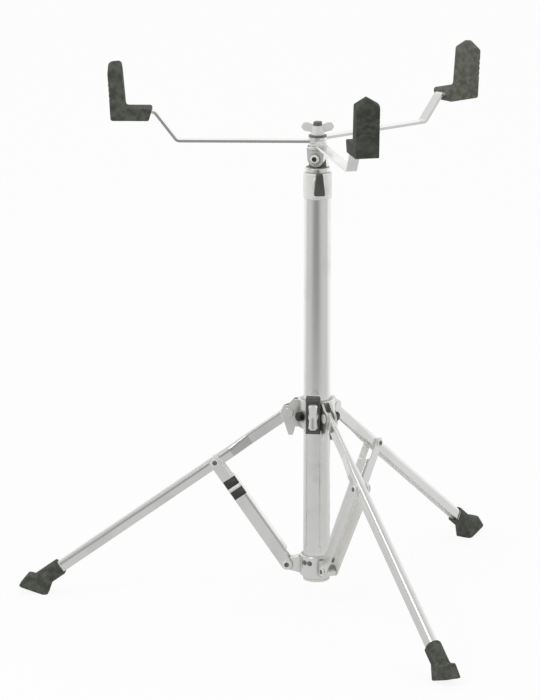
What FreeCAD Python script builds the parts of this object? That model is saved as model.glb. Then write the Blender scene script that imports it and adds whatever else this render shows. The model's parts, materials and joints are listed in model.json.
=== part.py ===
import FreeCAD, Part
import math
import os
import Sketcher
from types import SimpleNamespace

# Folding snare drum stand. Lengths in millimetres, angles in degrees.
# Origin on the floor below the column, +Z up, the left leg along -X.
# Each group of pieces is drawn in a frame of its own: the tube's top, the tilt
# axis, the hub plate, the legs' upper pivots and the struts' lower pivots.

SIZES = {
    # shared
    "overrun": 2.0,
    "reach": 60.0,
    "running_gap": 0.05,
    "side_gap": 0.3,
    "press_gap": 0.02,
    # where the pieces stand round the column
    "leg_left_azimuth": 180.0,
    "leg_right_azimuth": 60.0,
    "leg_front_azimuth": -60.0,
    "arm_left_azimuth": 184.0,
    "arm_right_azimuth": 45.0,
    "arm_front_azimuth": -72.0,
    "clamp_azimuth": -91.0,
    "height_screw_azimuth": -81.0,
    "tilt_azimuth": -105.0,
    # column tube and its end cap
    "tube_outer": 25.4,
    "tube_wall": 1.6,
    "tube_bottom": 24.0,
    "tube_length": 370.0,
    "tube_edge": 0.4,
    "cap_flange": 2.6,
    "cap_depth": 14.0,
    "cap_wall": 2.0,
    # lower collar
    "lower_ring_wall": 3.3,
    "lower_ring_rise": 2.0,
    "lower_ring_height": 21.0,
    "lower_ring_edge": 1.2,
    "lower_pivot_reach": 11.9,
    "lower_pivot_rise": 10.6,
    "tongue_round": 5.0,
    "tongue_root_rise": 7.6,
    "ring_rivet_head": 5.0,
    "ring_rivet_proud": 1.6,
    "ring_rivet_shank": 2.6,
    "ring_rivet_rise": 3.9,
    "ring_rivet_spread": 10.0,
    # pivots
    "pivot_shank": 6.0,
    "pivot_head": 9.0,
    "pivot_head_rise": 1.1,
    "strut_rivet_shank": 5.0,
    "strut_rivet_head": 8.0,
    "strut_rivet_rise": 1.4,
    "rivet_bevel": 0.7,
    # leg
    "collar_pivot_reach": 9.5,
    "collar_pivot_height": 186.3,
    "leg_angle": 54.15,
    "leg_socket_length": 20.0,
    "leg_width": 10.0,
    "leg_depth": 11.0,
    "leg_wall": 1.3,
    "leg_neck_width": 5.2,
    "leg_neck_length": 46.0,
    "leg_shoulder_length": 22.0,
    "leg_to_strut_pivot": 86.5,
    # strut
    "strut_wall": 1.3,
    "strut_side_gap": 0.6,
    "strut_web_gap": 1.1,
    "strut_lip": 5.2,
    "strut_corner": 2.6,
    "strut_top_cutback": 19.0,
    "strut_bottom_cutback": 10.0,
    "strut_cut_slope": 5.0,
    # rubber boot
    "foot_wall": 2.4,
    "foot_sleeve_length": 31.0,
    "foot_sole_at": 39.4,
    "foot_sole_tilt": 17.5,
    "foot_sole_radius": 14.2,
    "foot_sole_shift": 5.5,
    "foot_skirt_height": 14.0,
    "foot_skirt_draft": 17.0,
    "foot_facet_depth": 1.4,
    "foot_socket_gap": 0.1,
    # leg collar
    "collar_below": 14.3,
    "collar_above": 13.7,
    "collar_wall": 3.0,
    "collar_edge": 0.8,
    "sleeve_wall": 1.23,
    "sleeve_stand_out": 0.8,
    "lug_wall": 2.2,
    "lug_round": 7.0,
    "lug_root_inset": 1.5,
    "lug_top_inset": 5.5,
    "lug_foot_inset": 6.0,
    "lug_tip_drop": 21.8,
    "lug_tip_length": 4.0,
    "lug_slot_gap": 1.0,
    "collar_bolt_head": 8.6,
    "collar_bolt_proud": 5.4,
    "collar_bolt_shank": 5.0,
    "collar_bolt_drop": 1.8,
    "collar_bolt_first": -141.0,
    "collar_bolt_edge": 1.0,
    # clamp housing and T screw
    "clamp_left": 8.0,
    "clamp_depth": 10.3,
    "clamp_below": 15.3,
    "clamp_above": 19.7,
    "clamp_seat_gap": 0.2,
    "clamp_ear_gap": 0.35,
    "clamp_corner": 2.5,
    "clamp_round": 1.6,
    "clamp_screw_rise": 4.2,
    "clamp_screw_shank": 5.4,
    "clamp_screw_tip_gap": 0.15,
    "clamp_bore_gap": 0.3,
    "handle_gap": 1.5,
    "handle_reach": 9.5,
    "handle_length": 24.0,
    "handle_middle": 6.8,
    "handle_end": 8.6,
    "handle_nose": 1.6,
    "handle_neck": 9.0,
    "handle_socket": 2.6,
    # height head, bush and screw
    "head_step": 0.6,
    "head_height": 24.5,
    "head_spigot_length": 24.0,
    "head_edge": 1.4,
    "head_bore_gap": 0.3,
    "spigot_wall": 0.68,
    "bush_wall": 0.83,
    "bush_gap": 0.05,
    "bush_length": 28.0,
    "bush_headroom": 2.0,
    "bush_land": 8.0,
    "bush_relief": 0.3,
    "head_boss": 12.5,
    "head_boss_proud": 4.1,
    "height_screw_rise": 16.5,
    "height_screw_shank": 6.6,
    "height_screw_tip_gap": 0.15,
    "grip_gap": 1.6,
    "grip_thick": 9.0,
    "grip_half_height": 10.4,
    "grip_top_half": 3.0,
    "grip_bottom_half": 5.3,
    "grip_round": 1.6,
    "grip_socket": 5.0,
    # post
    "post_wall": 1.5,
    "post_length": 204.0,
    "post_stand_out": 0.5,
    # tilter
    "base_cap_step": 2.5,
    "base_cap_height": 3.8,
    "base_spigot_length": 14.0,
    "base_edge": 0.8,
    "tilt_disc_radius": 8.0,
    "tilt_disc_gap": 0.7,
    "tilt_disc_thick": 6.0,
    "tilt_face_gap": 0.2,
    "tilt_root_half": 9.0,
    "tilt_bolt_shank": 6.0,
    "tilt_bolt_head": 8.4,
    "tilt_bolt_proud": 3.0,
    "tilt_bolt_edge": 1.0,
    "tilt_bolt_tail": 2.6,
    "tilt_nut_hub": 10.4,
    "tilt_nut_length": 6.4,
    "tilt_wing_reach": 10.4,
    "tilt_wing_root": 3.2,
    "tilt_wing_thick": 2.6,
    "tilt_wing_lean": 3.4,
    "hub_gap": 0.5,
    "hub_plate_outer": 19.0,
    "hub_plate_thick": 3.4,
    "hub_neck_half": 8.6,
    "hub_bolt": 8.0,
    "hub_bolt_stand_out": 3.9,
    "hub_bolt_edge": 1.0,
    # basket nut and washer
    "washer_outer": 17.0,
    "washer_thick": 1.5,
    "nut_hub": 13.0,
    "nut_hub_height": 8.6,
    "nut_hub_top": 10.0,
    "nut_thread_gap": 0.05,
    "wing_half_span": 15.5,
    "wing_root_rise": 1.4,
    "wing_low_rise": 4.0,
    "wing_high_rise": 11.6,
    "wing_waist_rise": 7.4,
    "wing_tip_inset": 2.6,
    "wing_crown_inset": 6.6,
    "wing_thick": 3.0,
    "wing_round": 1.4,
    # arms
    "arm_thick": 2.5,
    "arm_width": 10.0,
    "arm_eye": 17.0,
    "arm_eye_gap": 0.2,
    "arm_bend_at": 131.0,
    "arm_bend_radius": 5.0,
    "arm_rise_run": 21.0,
    "arm_rise": 31.4,
    "arm_seat_run": 33.0,
    "arm_upright_rise": 34.2,
    "arm_upright_lean": 3.5,
    # rubber covers, measured from the corner where the arm turns upright
    "pad_reach": 31.5,
    "pad_slant": 3.5,
    "pad_under": 5.4,
    "pad_seat": 5.4,
    "pad_inner_foot": 7.4,
    "pad_inner_top": 2.9,
    "pad_outer_foot": 7.2,
    "pad_outer_top": 10.4,
    "pad_peak": 48.2,
    "pad_shoulder_drop": 8.5,
    "pad_width": 26.0,
    "pad_slot_gap": 0.1,
    "pad_heel": 6.0,
    "pad_nose": 3.0,
    "pad_edge": 1.5,
    "pad_groove_first": 5.8,
    "pad_groove_depth": 0.8,
    "pad_groove_width": 2.0,
    "pad_groove_pitch": 6.0,
}

RING_GAP_AZIMUTHS = (-120.0, 0.0, 120.0)
GROOVES_PER_PAD = 4
FULL_TURN = 360.0
THIRD_TURN = 120.0
TINY = 1e-6


class Size:
    """A value together with the sheet formula that gives it."""

    def __init__(self, value, text):
        self.value = value
        self.text = text

    def __add__(self, other):
        other = sized(other)
        return Size(self.value + other.value, "(%s + %s)" % (self.text, other.text))

    def __sub__(self, other):
        other = sized(other)
        return Size(self.value - other.value, "(%s - %s)" % (self.text, other.text))

    def __rsub__(self, other):
        return sized(other) - self

    def __mul__(self, other):
        other = sized(other)
        return Size(self.value * other.value, "(%s * %s)" % (self.text, other.text))

    def __truediv__(self, other):
        other = sized(other)
        return Size(self.value / other.value, "(%s / %s)" % (self.text, other.text))

    def __neg__(self):
        return Size(-self.value, "(-%s)" % self.text)

    __radd__ = __add__
    __rmul__ = __mul__


def sized(number):
    if isinstance(number, Size):
        return number
    return Size(float(number), "(%.9g)" % number)


def root(size):
    return Size(math.sqrt(size.value), "sqrt(%s)" % size.text)


def sine(angle):
    return Size(math.sin(math.radians(angle.value)), "sin(%s)" % angle.text)


def cosine(angle):
    return Size(math.cos(math.radians(angle.value)), "cos(%s)" % angle.text)


doc = FreeCAD.newDocument("snare_stand")
sheet = doc.addObject("Spreadsheet::Sheet", "Sizes")
for row, (alias, number) in enumerate(SIZES.items(), start=1):
    sheet.set("A%d" % row, alias)
    sheet.set("B%d" % row, str(number))
    sheet.setAlias("B%d" % row, alias)
doc.recompute()
s = SimpleNamespace(**{a: Size(float(getattr(sheet, a)), "Sizes." + a) for a in SIZES})
nodes = []


def arc_between(start, end, radius, turn):
    """Short arc from start to end; turn +1 runs counter-clockwise, -1 clockwise."""
    chord = end - start
    across = FreeCAD.Vector(-chord.y, chord.x, 0)
    across.normalize()
    rise = math.sqrt(max(radius * radius - chord.Length * chord.Length / 4, 0))
    centre = (start + end) * 0.5 + across * (rise * turn)
    first = math.atan2(start.y - centre.y, start.x - centre.x)
    last = math.atan2(end.y - centre.y, end.x - centre.x)
    if turn < 0:
        first, last = last, first
    circle = Part.Circle(centre, FreeCAD.Vector(0, 0, 1), radius)
    return Part.ArcOfCircle(circle, first, last)


class Piece:
    """One body. Outlines are drawn in its own XZ, XY or YZ plane."""

    def __init__(self, label, azimuth=None, lean=0.0, radius=None, height=None):
        self.body = doc.addObject("PartDesign::Body", label)
        self.body.Label = label
        about_z = FreeCAD.Rotation(FreeCAD.Vector(0, 0, 1), azimuth.value if azimuth else 0)
        about_y = FreeCAD.Rotation(FreeCAD.Vector(0, 1, 0), lean)
        self.body.Placement = FreeCAD.Placement(FreeCAD.Vector(), about_z * about_y)
        if radius:
            self.bind(self.body, "Placement.Base.x", radius * cosine(azimuth))
            self.bind(self.body, "Placement.Base.y", radius * sine(azimuth))
        if height:
            self.bind(self.body, "Placement.Base.z", height)

    def bind(self, item, name, size):
        item.setExpression(name, size.text)

    def hold(self, sketch, kind, *args):
        """Add a dimension to a sketch and bind it to the sheet."""
        size = args[-1]
        index = sketch.addConstraint(Sketcher.Constraint(kind, *args[:-1], size.value))
        name = "size_%d" % index
        sketch.renameConstraint(index, name)
        self.bind(sketch, "Constraints." + name, size)

    def fix_point(self, sketch, edge, end, x, y):
        if abs(x.value) < TINY:
            sketch.addConstraint(Sketcher.Constraint("PointOnObject", edge, end, -2))
        else:
            self.hold(sketch, "DistanceX", -1, 1, edge, end, x)
        if abs(y.value) < TINY:
            sketch.addConstraint(Sketcher.Constraint("PointOnObject", edge, end, -1))
        else:
            self.hold(sketch, "DistanceY", -1, 1, edge, end, y)

    def draw(self, sketch, corners):
        """Closed loop; a corner is (x, y) or (x, y, radius, turn) for an arc to the next."""
        first = sketch.GeometryCount
        spots = [FreeCAD.Vector(sized(c[0]).value, sized(c[1]).value, 0) for c in corners]
        count = len(corners)
        ends = []
        for index, corner in enumerate(corners):
            here, there = spots[index], spots[(index + 1) % count]
            if len(corner) == 2:
                sketch.addGeometry(Part.LineSegment(here, there), False)
                ends.append((1, 2))
            else:
                arc = arc_between(here, there, corner[2].value, corner[3])
                sketch.addGeometry(arc, False)
                ends.append((1, 2) if corner[3] > 0 else (2, 1))
        for index, corner in enumerate(corners):
            before = (index - 1) % count
            link = (first + before, ends[before][1], first + index, ends[index][0])
            sketch.addConstraint(Sketcher.Constraint("Coincident", *link))
            self.fix_point(sketch, first + index, ends[index][0], sized(corner[0]), sized(corner[1]))
            if len(corner) > 2:
                self.hold(sketch, "Radius", first + index, corner[2])

    def sketch(self, role, loops=(), circles=(), spin=None, lift=None, axis=None):
        sketch = self.body.newObject("Sketcher::SketchObject", self.body.Name + "_sketch")
        plane = next(f for f in self.body.Origin.OriginFeatures if f.Role == role)
        sketch.AttachmentSupport = [(plane, "")]
        sketch.MapMode = "FlatFace"
        turned = FreeCAD.Rotation(FreeCAD.Vector(0, 1, 0), spin.value if spin else 0)
        sketch.AttachmentOffset = FreeCAD.Placement(FreeCAD.Vector(), turned)
        if lift:
            self.bind(sketch, "AttachmentOffset.Base.z", lift)
        for corners in loops:
            self.draw(sketch, corners)
        for x, y, radius in circles:
            spot = FreeCAD.Vector(sized(x).value, sized(y).value, 0)
            edge = sketch.addGeometry(Part.Circle(spot, FreeCAD.Vector(0, 0, 1), radius.value), False)
            self.fix_point(sketch, edge, 3, sized(x), sized(y))
            self.hold(sketch, "Radius", edge, radius)
        if axis:
            start, end = axis
            line = [FreeCAD.Vector(sized(p[0]).value, sized(p[1]).value, 0) for p in axis]
            edge = sketch.addGeometry(Part.LineSegment(*line), True)
            self.fix_point(sketch, edge, 1, sized(start[0]), sized(start[1]))
            self.fix_point(sketch, edge, 2, sized(end[0]), sized(end[1]))
        return sketch

    def feature(self, kind):
        feature = self.body.newObject("PartDesign::" + kind, self.body.Name + "_" + kind.lower())
        self.body.Tip = feature
        return feature

    def extrude(self, kind, sketch, length, side="Symmetric", reverse=False, taper=None):
        feature = self.feature(kind)
        feature.Profile = sketch
        feature.SideType = side
        feature.Reversed = reverse
        self.bind(feature, "Length", length)
        if taper:
            self.bind(feature, "TaperAngle", taper)
        return feature

    def loft(self, first, second):
        feature = self.feature("AdditiveLoft")
        feature.Profile = first
        feature.Sections = [second]
        feature.Ruled = True
        return feature

    def pad(self, corners, width, spin=None):
        return self.extrude("Pad", self.sketch("XZ_Plane", [corners], spin=spin), width)

    def cut(self, corners, width, spin=None):
        return self.extrude("Pocket", self.sketch("XZ_Plane", [corners], spin=spin), width)

    def drill(self, spots, radius, width, spin=None):
        circles = [(x, z, radius) for x, z in spots]
        sketch = self.sketch("XZ_Plane", circles=circles, spin=spin)
        return self.extrude("Pocket", sketch, width)

    def revolve(self, kind, sketch, axis_name):
        feature = self.feature(kind)
        feature.Profile = sketch
        feature.ReferenceAxis = (sketch, [axis_name])
        feature.Angle = FULL_TURN
        return feature

    def turn(self, corners, kind="Revolution"):
        """Turned round the upright axis."""
        return self.revolve(kind, self.sketch("XZ_Plane", [corners]), "V_Axis")

    def turn_level(self, corners, height, kind="Revolution", spin=None):
        """Turned round a level line that runs outward at the given height."""
        axis = ((0, height), (s.reach, height))
        sketch = self.sketch("XZ_Plane", [corners], spin=spin, axis=axis)
        return self.revolve(kind, sketch, "Axis0")

    def turn_upright(self, corners, distance, low, high):
        """Turned round an upright line at the given distance from the column."""
        sketch = self.sketch("XZ_Plane", [corners], axis=((distance, low), (distance, high)))
        return self.revolve("Revolution", sketch, "Axis0")

    def turn_across(self, corners, distance, height):
        """Turned round a level line that runs across at the given distance and height."""
        axis = ((distance, 0), (distance, s.reach))
        sketch = self.sketch("XY_Plane", [corners], lift=height, axis=axis)
        return self.revolve("Revolution", sketch, "Axis0")

    def ease(self, wanted, radius, kind="Fillet"):
        """Round or bevel every edge that the test picks."""
        doc.recompute()
        tip = self.body.Tip
        names = ["Edge%d" % n for n, e in enumerate(tip.Shape.Edges, start=1) if wanted(e)]
        feature = self.feature(kind)
        feature.Base = (tip, names)
        self.bind(feature, "Radius" if kind == "Fillet" else "Size", radius)
        return feature

    def done(self):
        nodes.append(self.body)
        return self


def group(label, pieces):
    """One node made of several separate solids."""
    node = doc.addObject("Part::Compound", label)
    node.Label = label
    node.Links = [piece.body for piece in pieces]
    nodes.append(node)


def runs_along(axis, edge):
    """True for a straight edge along the given axis."""
    if not isinstance(edge.Curve, Part.Line):
        return False
    return abs(abs(edge.Curve.Direction.dot(axis)) - 1) < TINY


def ring(inner, outer, low, high, bevel=None):
    """Half section of a ring, its outer edges bevelled."""
    if bevel is None:
        return [(inner, low), (outer, low), (outer, high), (inner, high)]
    return [
        (inner, low), (outer - bevel, low), (outer, low + bevel),
        (outer, high - bevel), (outer - bevel, high), (inner, high),
    ]


def half_disc(start, end, radius, height, bevel=None):
    """Half section of a shaft that lies level at the given height."""
    if bevel is None:
        return [(start, height), (end, height), (end, height + radius), (start, height + radius)]
    return [
        (start, height), (end, height), (end, height + radius - bevel),
        (end - bevel, height + radius), (start, height + radius),
    ]


def bent_strip(path, half, radius):
    """Outline of a strip that follows the path, with rounded bends."""
    legs = []
    for (xa, za), (xb, zb) in zip(path, path[1:]):
        xa, za, xb, zb = sized(xa), sized(za), sized(xb), sized(zb)
        run, rise = xb - xa, zb - za
        length = root(run * run + rise * rise)
        legs.append((run / length, rise / length))
    right, left = [], []

    def offset(spot, way, side):
        return (spot[0] - way[1] * half * side, spot[1] + way[0] * half * side)

    start = (sized(path[0][0]), sized(path[0][1]))
    right.append(offset(start, legs[0], -1))
    left.append(offset(start, legs[0], 1))
    for corner, before, after in zip(path[1:-1], legs, legs[1:]):
        dot = before[0] * after[0] + before[1] * after[1]
        cross = before[0] * after[1] - before[1] * after[0]
        turn = 1 if cross.value > 0 else -1
        reach = (1 - dot) / (cross * turn) * radius
        entry = (corner[0] - before[0] * reach, corner[1] - before[1] * reach)
        leave = (corner[0] + after[0] * reach, corner[1] + after[1] * reach)
        right.append(offset(entry, before, -1) + (radius + half * turn, turn))
        right.append(offset(leave, after, -1))
        left.append(offset(entry, before, 1))
        left.append(offset(leave, after, 1) + (radius - half * turn, -turn))
    end = (sized(path[-1][0]), sized(path[-1][1]))
    right.append(offset(end, legs[-1], -1))
    left.append(offset(end, legs[-1], 1))
    return right + left[::-1]


def rivet_end(x, start, seat, shank, head, rise):
    """Half section of a rivet's end: the shank from start to the seat, then the head."""
    end = seat + rise
    return [
        (x + shank / 2, start), (x + shank / 2, seat), (x + head / 2, seat),
        (x + head / 2, end - s.rivet_bevel), (x + head / 2 - s.rivet_bevel, end),
    ]


def mirrored(corners):
    return [(x, -y) for x, y in corners[::-1]]


# Column

tube_radius = s.tube_outer / 2
tube_bore = tube_radius - s.tube_wall
tube_top = s.tube_bottom + s.tube_length
tube = Piece("main_tube")
tube.turn(ring(tube_bore, tube_radius, s.tube_bottom, tube_top, s.tube_edge))
tube.done()

cap = Piece("tube_end_cap", height=s.tube_bottom)
cap_plug = tube_bore - s.running_gap
cap.turn([
    (0, -s.cap_flange), (tube_radius - s.tube_edge, -s.cap_flange),
    (tube_radius, s.tube_edge - s.cap_flange), (tube_radius, 0), (cap_plug, 0),
    (cap_plug, s.cap_depth), (cap_plug - s.cap_wall, s.cap_depth),
    (cap_plug - s.cap_wall, 0), (0, 0),
])
cap.done()

# Lower collar, drawn about the height of its pivots

LEG_AZIMUTHS = {
    "left": s.leg_left_azimuth, "right": s.leg_right_azimuth, "front": s.leg_front_azimuth,
}
strut_inner_half = s.leg_width / 2 + s.strut_side_gap
strut_outer_half = strut_inner_half + s.strut_wall
tongue_width = (strut_inner_half - s.side_gap) * 2
lower_height = s.tube_bottom + s.lower_ring_rise + s.lower_pivot_rise
lower_ring_radius = tube_radius + s.lower_ring_wall
lower_pivot_radius = lower_ring_radius + s.lower_pivot_reach
lower_bore = tube_radius + s.press_gap
pivot_hole = s.pivot_shank / 2 + s.running_gap

lower = Piece("lower_collar", height=lower_height)
lower.turn(ring(lower_bore, lower_ring_radius, -s.lower_pivot_rise,
                s.lower_ring_height - s.lower_pivot_rise, s.lower_ring_edge))
tongue_root = lower_ring_radius - s.lower_ring_edge * 2
tongue_foot = lower_ring_radius + s.lower_ring_edge
tongue = [
    (tongue_root, -s.tongue_root_rise), (tongue_foot, -s.tongue_root_rise),
    (lower_pivot_radius, -s.tongue_round, s.tongue_round, 1),
    (lower_pivot_radius + s.tongue_round, 0, s.tongue_round, 1),
    (lower_pivot_radius, s.tongue_round),
    (tongue_foot, s.tongue_root_rise), (tongue_root, s.tongue_root_rise),
]
for azimuth in LEG_AZIMUTHS.values():
    lower.pad(tongue, tongue_width, spin=azimuth)
    lower.drill([(lower_pivot_radius, 0)], pivot_hole, s.reach, spin=azimuth)
ring_rivet_azimuths = [
    azimuth + s.ring_rivet_spread * side for azimuth in RING_GAP_AZIMUTHS for side in (-1, 1)
]
rivet_hole_radius = s.ring_rivet_shank / 2 + s.press_gap
rivet_hole = half_disc(tube_radius, lower_pivot_radius, rivet_hole_radius, s.ring_rivet_rise)
for azimuth in ring_rivet_azimuths:
    lower.turn_level(rivet_hole, s.ring_rivet_rise, "Groove", azimuth)
lower.done()

ring_rivets = []
rivet_seat = lower_ring_radius + s.press_gap
rivet_crown = rivet_seat + s.ring_rivet_proud
rivet_shank_top = s.ring_rivet_rise + s.ring_rivet_shank / 2
for index, azimuth in enumerate(ring_rivet_azimuths, start=1):
    rivet = Piece("ring_rivet_%d" % index, azimuth, height=lower_height)
    rivet.turn_level([
        (lower_bore + s.press_gap, s.ring_rivet_rise), (rivet_crown, s.ring_rivet_rise),
        (rivet_crown, rivet_shank_top), (rivet_seat, s.ring_rivet_rise + s.ring_rivet_head / 2),
        (rivet_seat, rivet_shank_top), (lower_bore + s.press_gap, rivet_shank_top),
    ], s.ring_rivet_rise)
    ring_rivets.append(rivet)
group("lower_collar_rivets", ring_rivets)


def cross_rivet(label, azimuth, distance, height, span):
    """A pivot rivet with two heads; span is the length between the heads."""
    rivet = Piece(label, azimuth, height=height)
    far_end = rivet_end(distance, sized(0), span / 2, s.pivot_shank, s.pivot_head, s.pivot_head_rise)
    tip = span / 2 + s.pivot_head_rise
    outline = [(distance, -tip)] + mirrored(far_end[1:]) + far_end[1:] + [(distance, tip)]
    rivet.turn_across(outline, distance, None)
    return rivet


strut_span = (strut_outer_half + s.side_gap) * 2
group("lower_pivots", [
    cross_rivet("lower_pivot_" + name, azimuth, lower_pivot_radius, lower_height, strut_span)
    for name, azimuth in LEG_AZIMUTHS.items()
])

# Height head, bush and screw, drawn about the tube's top

spigot_radius = tube_bore - s.press_gap
bush_seat_radius = spigot_radius - s.spigot_wall
bush_radius = bush_seat_radius - s.press_gap
bush_bore = bush_radius - s.bush_wall
post_radius = bush_bore - s.bush_gap
head_radius = tube_radius + s.head_step
head_bore = post_radius + s.head_bore_gap
boss_end = head_radius + s.head_boss_proud
bush_low = -s.head_spigot_length
bush_top = s.bush_length - s.head_spigot_length
bush_ceiling = bush_top + s.bush_headroom
screw_radius = s.height_screw_shank / 2
screw_height = s.height_screw_rise

head = Piece("height_head", s.height_screw_azimuth, height=tube_top)
head.turn([
    (bush_seat_radius, bush_low), (spigot_radius, bush_low), (spigot_radius, 0),
    (head_radius, 0), (head_radius, s.head_height - s.head_edge),
    (head_radius - s.head_edge, s.head_height), (head_bore, s.head_height),
    (head_bore, bush_ceiling), (bush_seat_radius, bush_ceiling),
])
head.turn_level(half_disc(tube_bore, boss_end, s.head_boss / 2, screw_height, s.head_edge),
                screw_height)
head.turn_level(half_disc(post_radius, boss_end + s.overrun, screw_radius + s.running_gap,
                          screw_height), screw_height, "Groove")
head.done()

bush = Piece("height_bush", height=tube_top)
bush_relief = bush_bore + s.bush_relief
bush.turn([
    (bush_bore, bush_low), (bush_radius, bush_low), (bush_radius, bush_top),
    (bush_bore, bush_top), (bush_bore, bush_top - s.bush_land),
    (bush_relief, bush_top - s.bush_land - s.bush_relief),
    (bush_relief, bush_low + s.bush_land + s.bush_relief), (bush_bore, bush_low + s.bush_land),
])
bush.done()

screw = Piece("height_screw", s.height_screw_azimuth, height=tube_top)
grip_start = boss_end + s.grip_gap
screw_end = grip_start + s.grip_socket
screw.turn_level(half_disc(post_radius + s.height_screw_tip_gap, screw_end, screw_radius,
                           screw_height), screw_height)
screw.done()

grip = Piece("height_grip", s.height_screw_azimuth, height=tube_top)
grip_low = screw_height - s.grip_half_height
grip_high = screw_height + s.grip_half_height
grip_face = grip.sketch("YZ_Plane", [[
    (-s.grip_bottom_half, grip_low), (s.grip_bottom_half, grip_low),
    (s.grip_top_half, grip_high), (-s.grip_top_half, grip_high),
]], lift=grip_start)
grip.extrude("Pad", grip_face, s.grip_thick, "One side")
grip.ease(lambda edge: True, s.grip_round)
grip.turn_level(half_disc(boss_end, screw_end, screw_radius + s.press_gap, screw_height),
                screw_height, "Groove")
grip.done()

# Post and tilter, the tilter drawn about its tilt axis

post_top = tube_top + s.head_height + s.post_stand_out
post_bore = post_radius - s.post_wall
post = Piece("inner_tube")
post.turn(ring(post_bore, post_radius, post_top - s.post_length, post_top, s.tube_edge))
post.done()

tilt_rise = s.tilt_disc_radius + s.tilt_disc_gap
tilt_height = post_top + s.base_cap_height + tilt_rise
tilt_hole = s.tilt_bolt_shank / 2 + s.running_gap
tilt_bore = half_disc(-s.reach, s.reach, tilt_hole, sized(0))
base_low = -tilt_rise - s.base_cap_height
cap_radius = post_radius + s.base_cap_step
plug_radius = post_bore - s.press_gap

tilter = Piece("tilter_base", s.tilt_azimuth, height=tilt_height)
tilter.turn([
    (0, base_low - s.base_spigot_length), (plug_radius, base_low - s.base_spigot_length),
    (plug_radius, base_low), (cap_radius, base_low), (cap_radius, -tilt_rise - s.base_edge),
    (cap_radius - s.base_edge, -tilt_rise), (0, -tilt_rise),
])
rear_face = tilter.sketch("YZ_Plane", [[
    (-s.tilt_root_half, -tilt_rise - s.base_edge), (s.tilt_root_half, -tilt_rise - s.base_edge),
    (s.tilt_disc_radius, 0, s.tilt_disc_radius, 1), (0, s.tilt_disc_radius, s.tilt_disc_radius, 1),
    (-s.tilt_disc_radius, 0),
]], lift=-s.tilt_face_gap)
tilter.extrude("Pad", rear_face, s.tilt_disc_thick, "One side", True)
tilter.turn_level(tilt_bore, sized(0), "Groove")
tilter.done()

tilt_seat = s.tilt_face_gap + s.tilt_disc_thick + s.side_gap
nut_face = -tilt_seat
nut_back = nut_face - s.tilt_nut_length
bolt = Piece("tilter_bolt", s.tilt_azimuth, height=tilt_height)
bolt_radius = s.tilt_bolt_shank / 2
bolt_head_radius = s.tilt_bolt_head / 2
bolt_tip = tilt_seat + s.tilt_bolt_proud
bolt_tail = nut_back - s.tilt_bolt_tail
bolt.turn_level([
    (bolt_tail, 0), (bolt_tip, 0), (bolt_tip, bolt_head_radius - s.tilt_bolt_edge),
    (bolt_tip - s.tilt_bolt_edge, bolt_head_radius), (tilt_seat, bolt_head_radius),
    (tilt_seat, bolt_radius), (bolt_tail, bolt_radius),
], sized(0))
bolt.done()

tilt_nut = Piece("tilter_wing_nut", s.tilt_azimuth, height=tilt_height)
tilt_nut.turn_level(half_disc(nut_back, nut_face, s.tilt_nut_hub / 2, sized(0), s.base_edge), sized(0))
nut_middle = (nut_face + nut_back) / 2
wing_back = nut_back - s.tilt_wing_lean
wing_front = wing_back + s.tilt_wing_root
tilt_nut.pad([
    (nut_middle + s.tilt_wing_root / 2, 0), (wing_front, s.tilt_wing_reach),
    (wing_back, s.tilt_wing_reach), (nut_middle - s.tilt_wing_root / 2, 0),
    (wing_back, -s.tilt_wing_reach), (wing_front, -s.tilt_wing_reach),
], s.tilt_wing_thick)
tilt_nut.turn_level(tilt_bore, sized(0), "Groove")
tilt_nut.done()

hub = Piece("tilter_head", s.tilt_azimuth, height=tilt_height)
hub_low = s.tilt_disc_radius + s.hub_gap
hub_top = hub_low + s.hub_plate_thick
hub_bolt_radius = s.hub_bolt / 2
hub_socket = hub_low + s.base_edge
hub.turn(ring(0, s.hub_plate_outer / 2, hub_low, hub_top, s.base_edge))
front_face = hub.sketch("YZ_Plane", [[
    (-s.tilt_disc_radius, 0, s.tilt_disc_radius, 1), (0, -s.tilt_disc_radius, s.tilt_disc_radius, 1),
    (s.tilt_disc_radius, 0), (s.hub_neck_half, hub_socket), (-s.hub_neck_half, hub_socket),
]], lift=s.tilt_face_gap)
hub.extrude("Pad", front_face, s.tilt_disc_thick, "One side")
hub.turn_level(tilt_bore, sized(0), "Groove")
hub.turn(ring(0, hub_bolt_radius, hub_socket, hub_top + s.overrun), "Groove")
hub.done()

# Basket, drawn above the hub plate

basket_height = tilt_height + hub_top
arm_levels = [s.arm_eye_gap + s.arm_thick / 2]
for _ in range(2):
    arm_levels.append(arm_levels[-1] + s.arm_thick + s.arm_eye_gap)
washer_low = arm_levels[-1] + s.arm_thick / 2 + s.arm_eye_gap
nut_low = washer_low + s.washer_thick + s.side_gap
nut_top = nut_low + s.nut_hub_height

centre_bolt = Piece("basket_bolt", height=basket_height)
centre_radius = hub_bolt_radius - s.press_gap
centre_bolt.turn(ring(0, centre_radius, hub_socket - hub_top, nut_top + s.hub_bolt_stand_out,
                      s.hub_bolt_edge))
centre_bolt.done()

washer = Piece("basket_washer", height=basket_height)
washer.turn(ring(hub_bolt_radius + s.running_gap, s.washer_outer / 2,
                 washer_low, washer_low + s.washer_thick))
washer.done()

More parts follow.
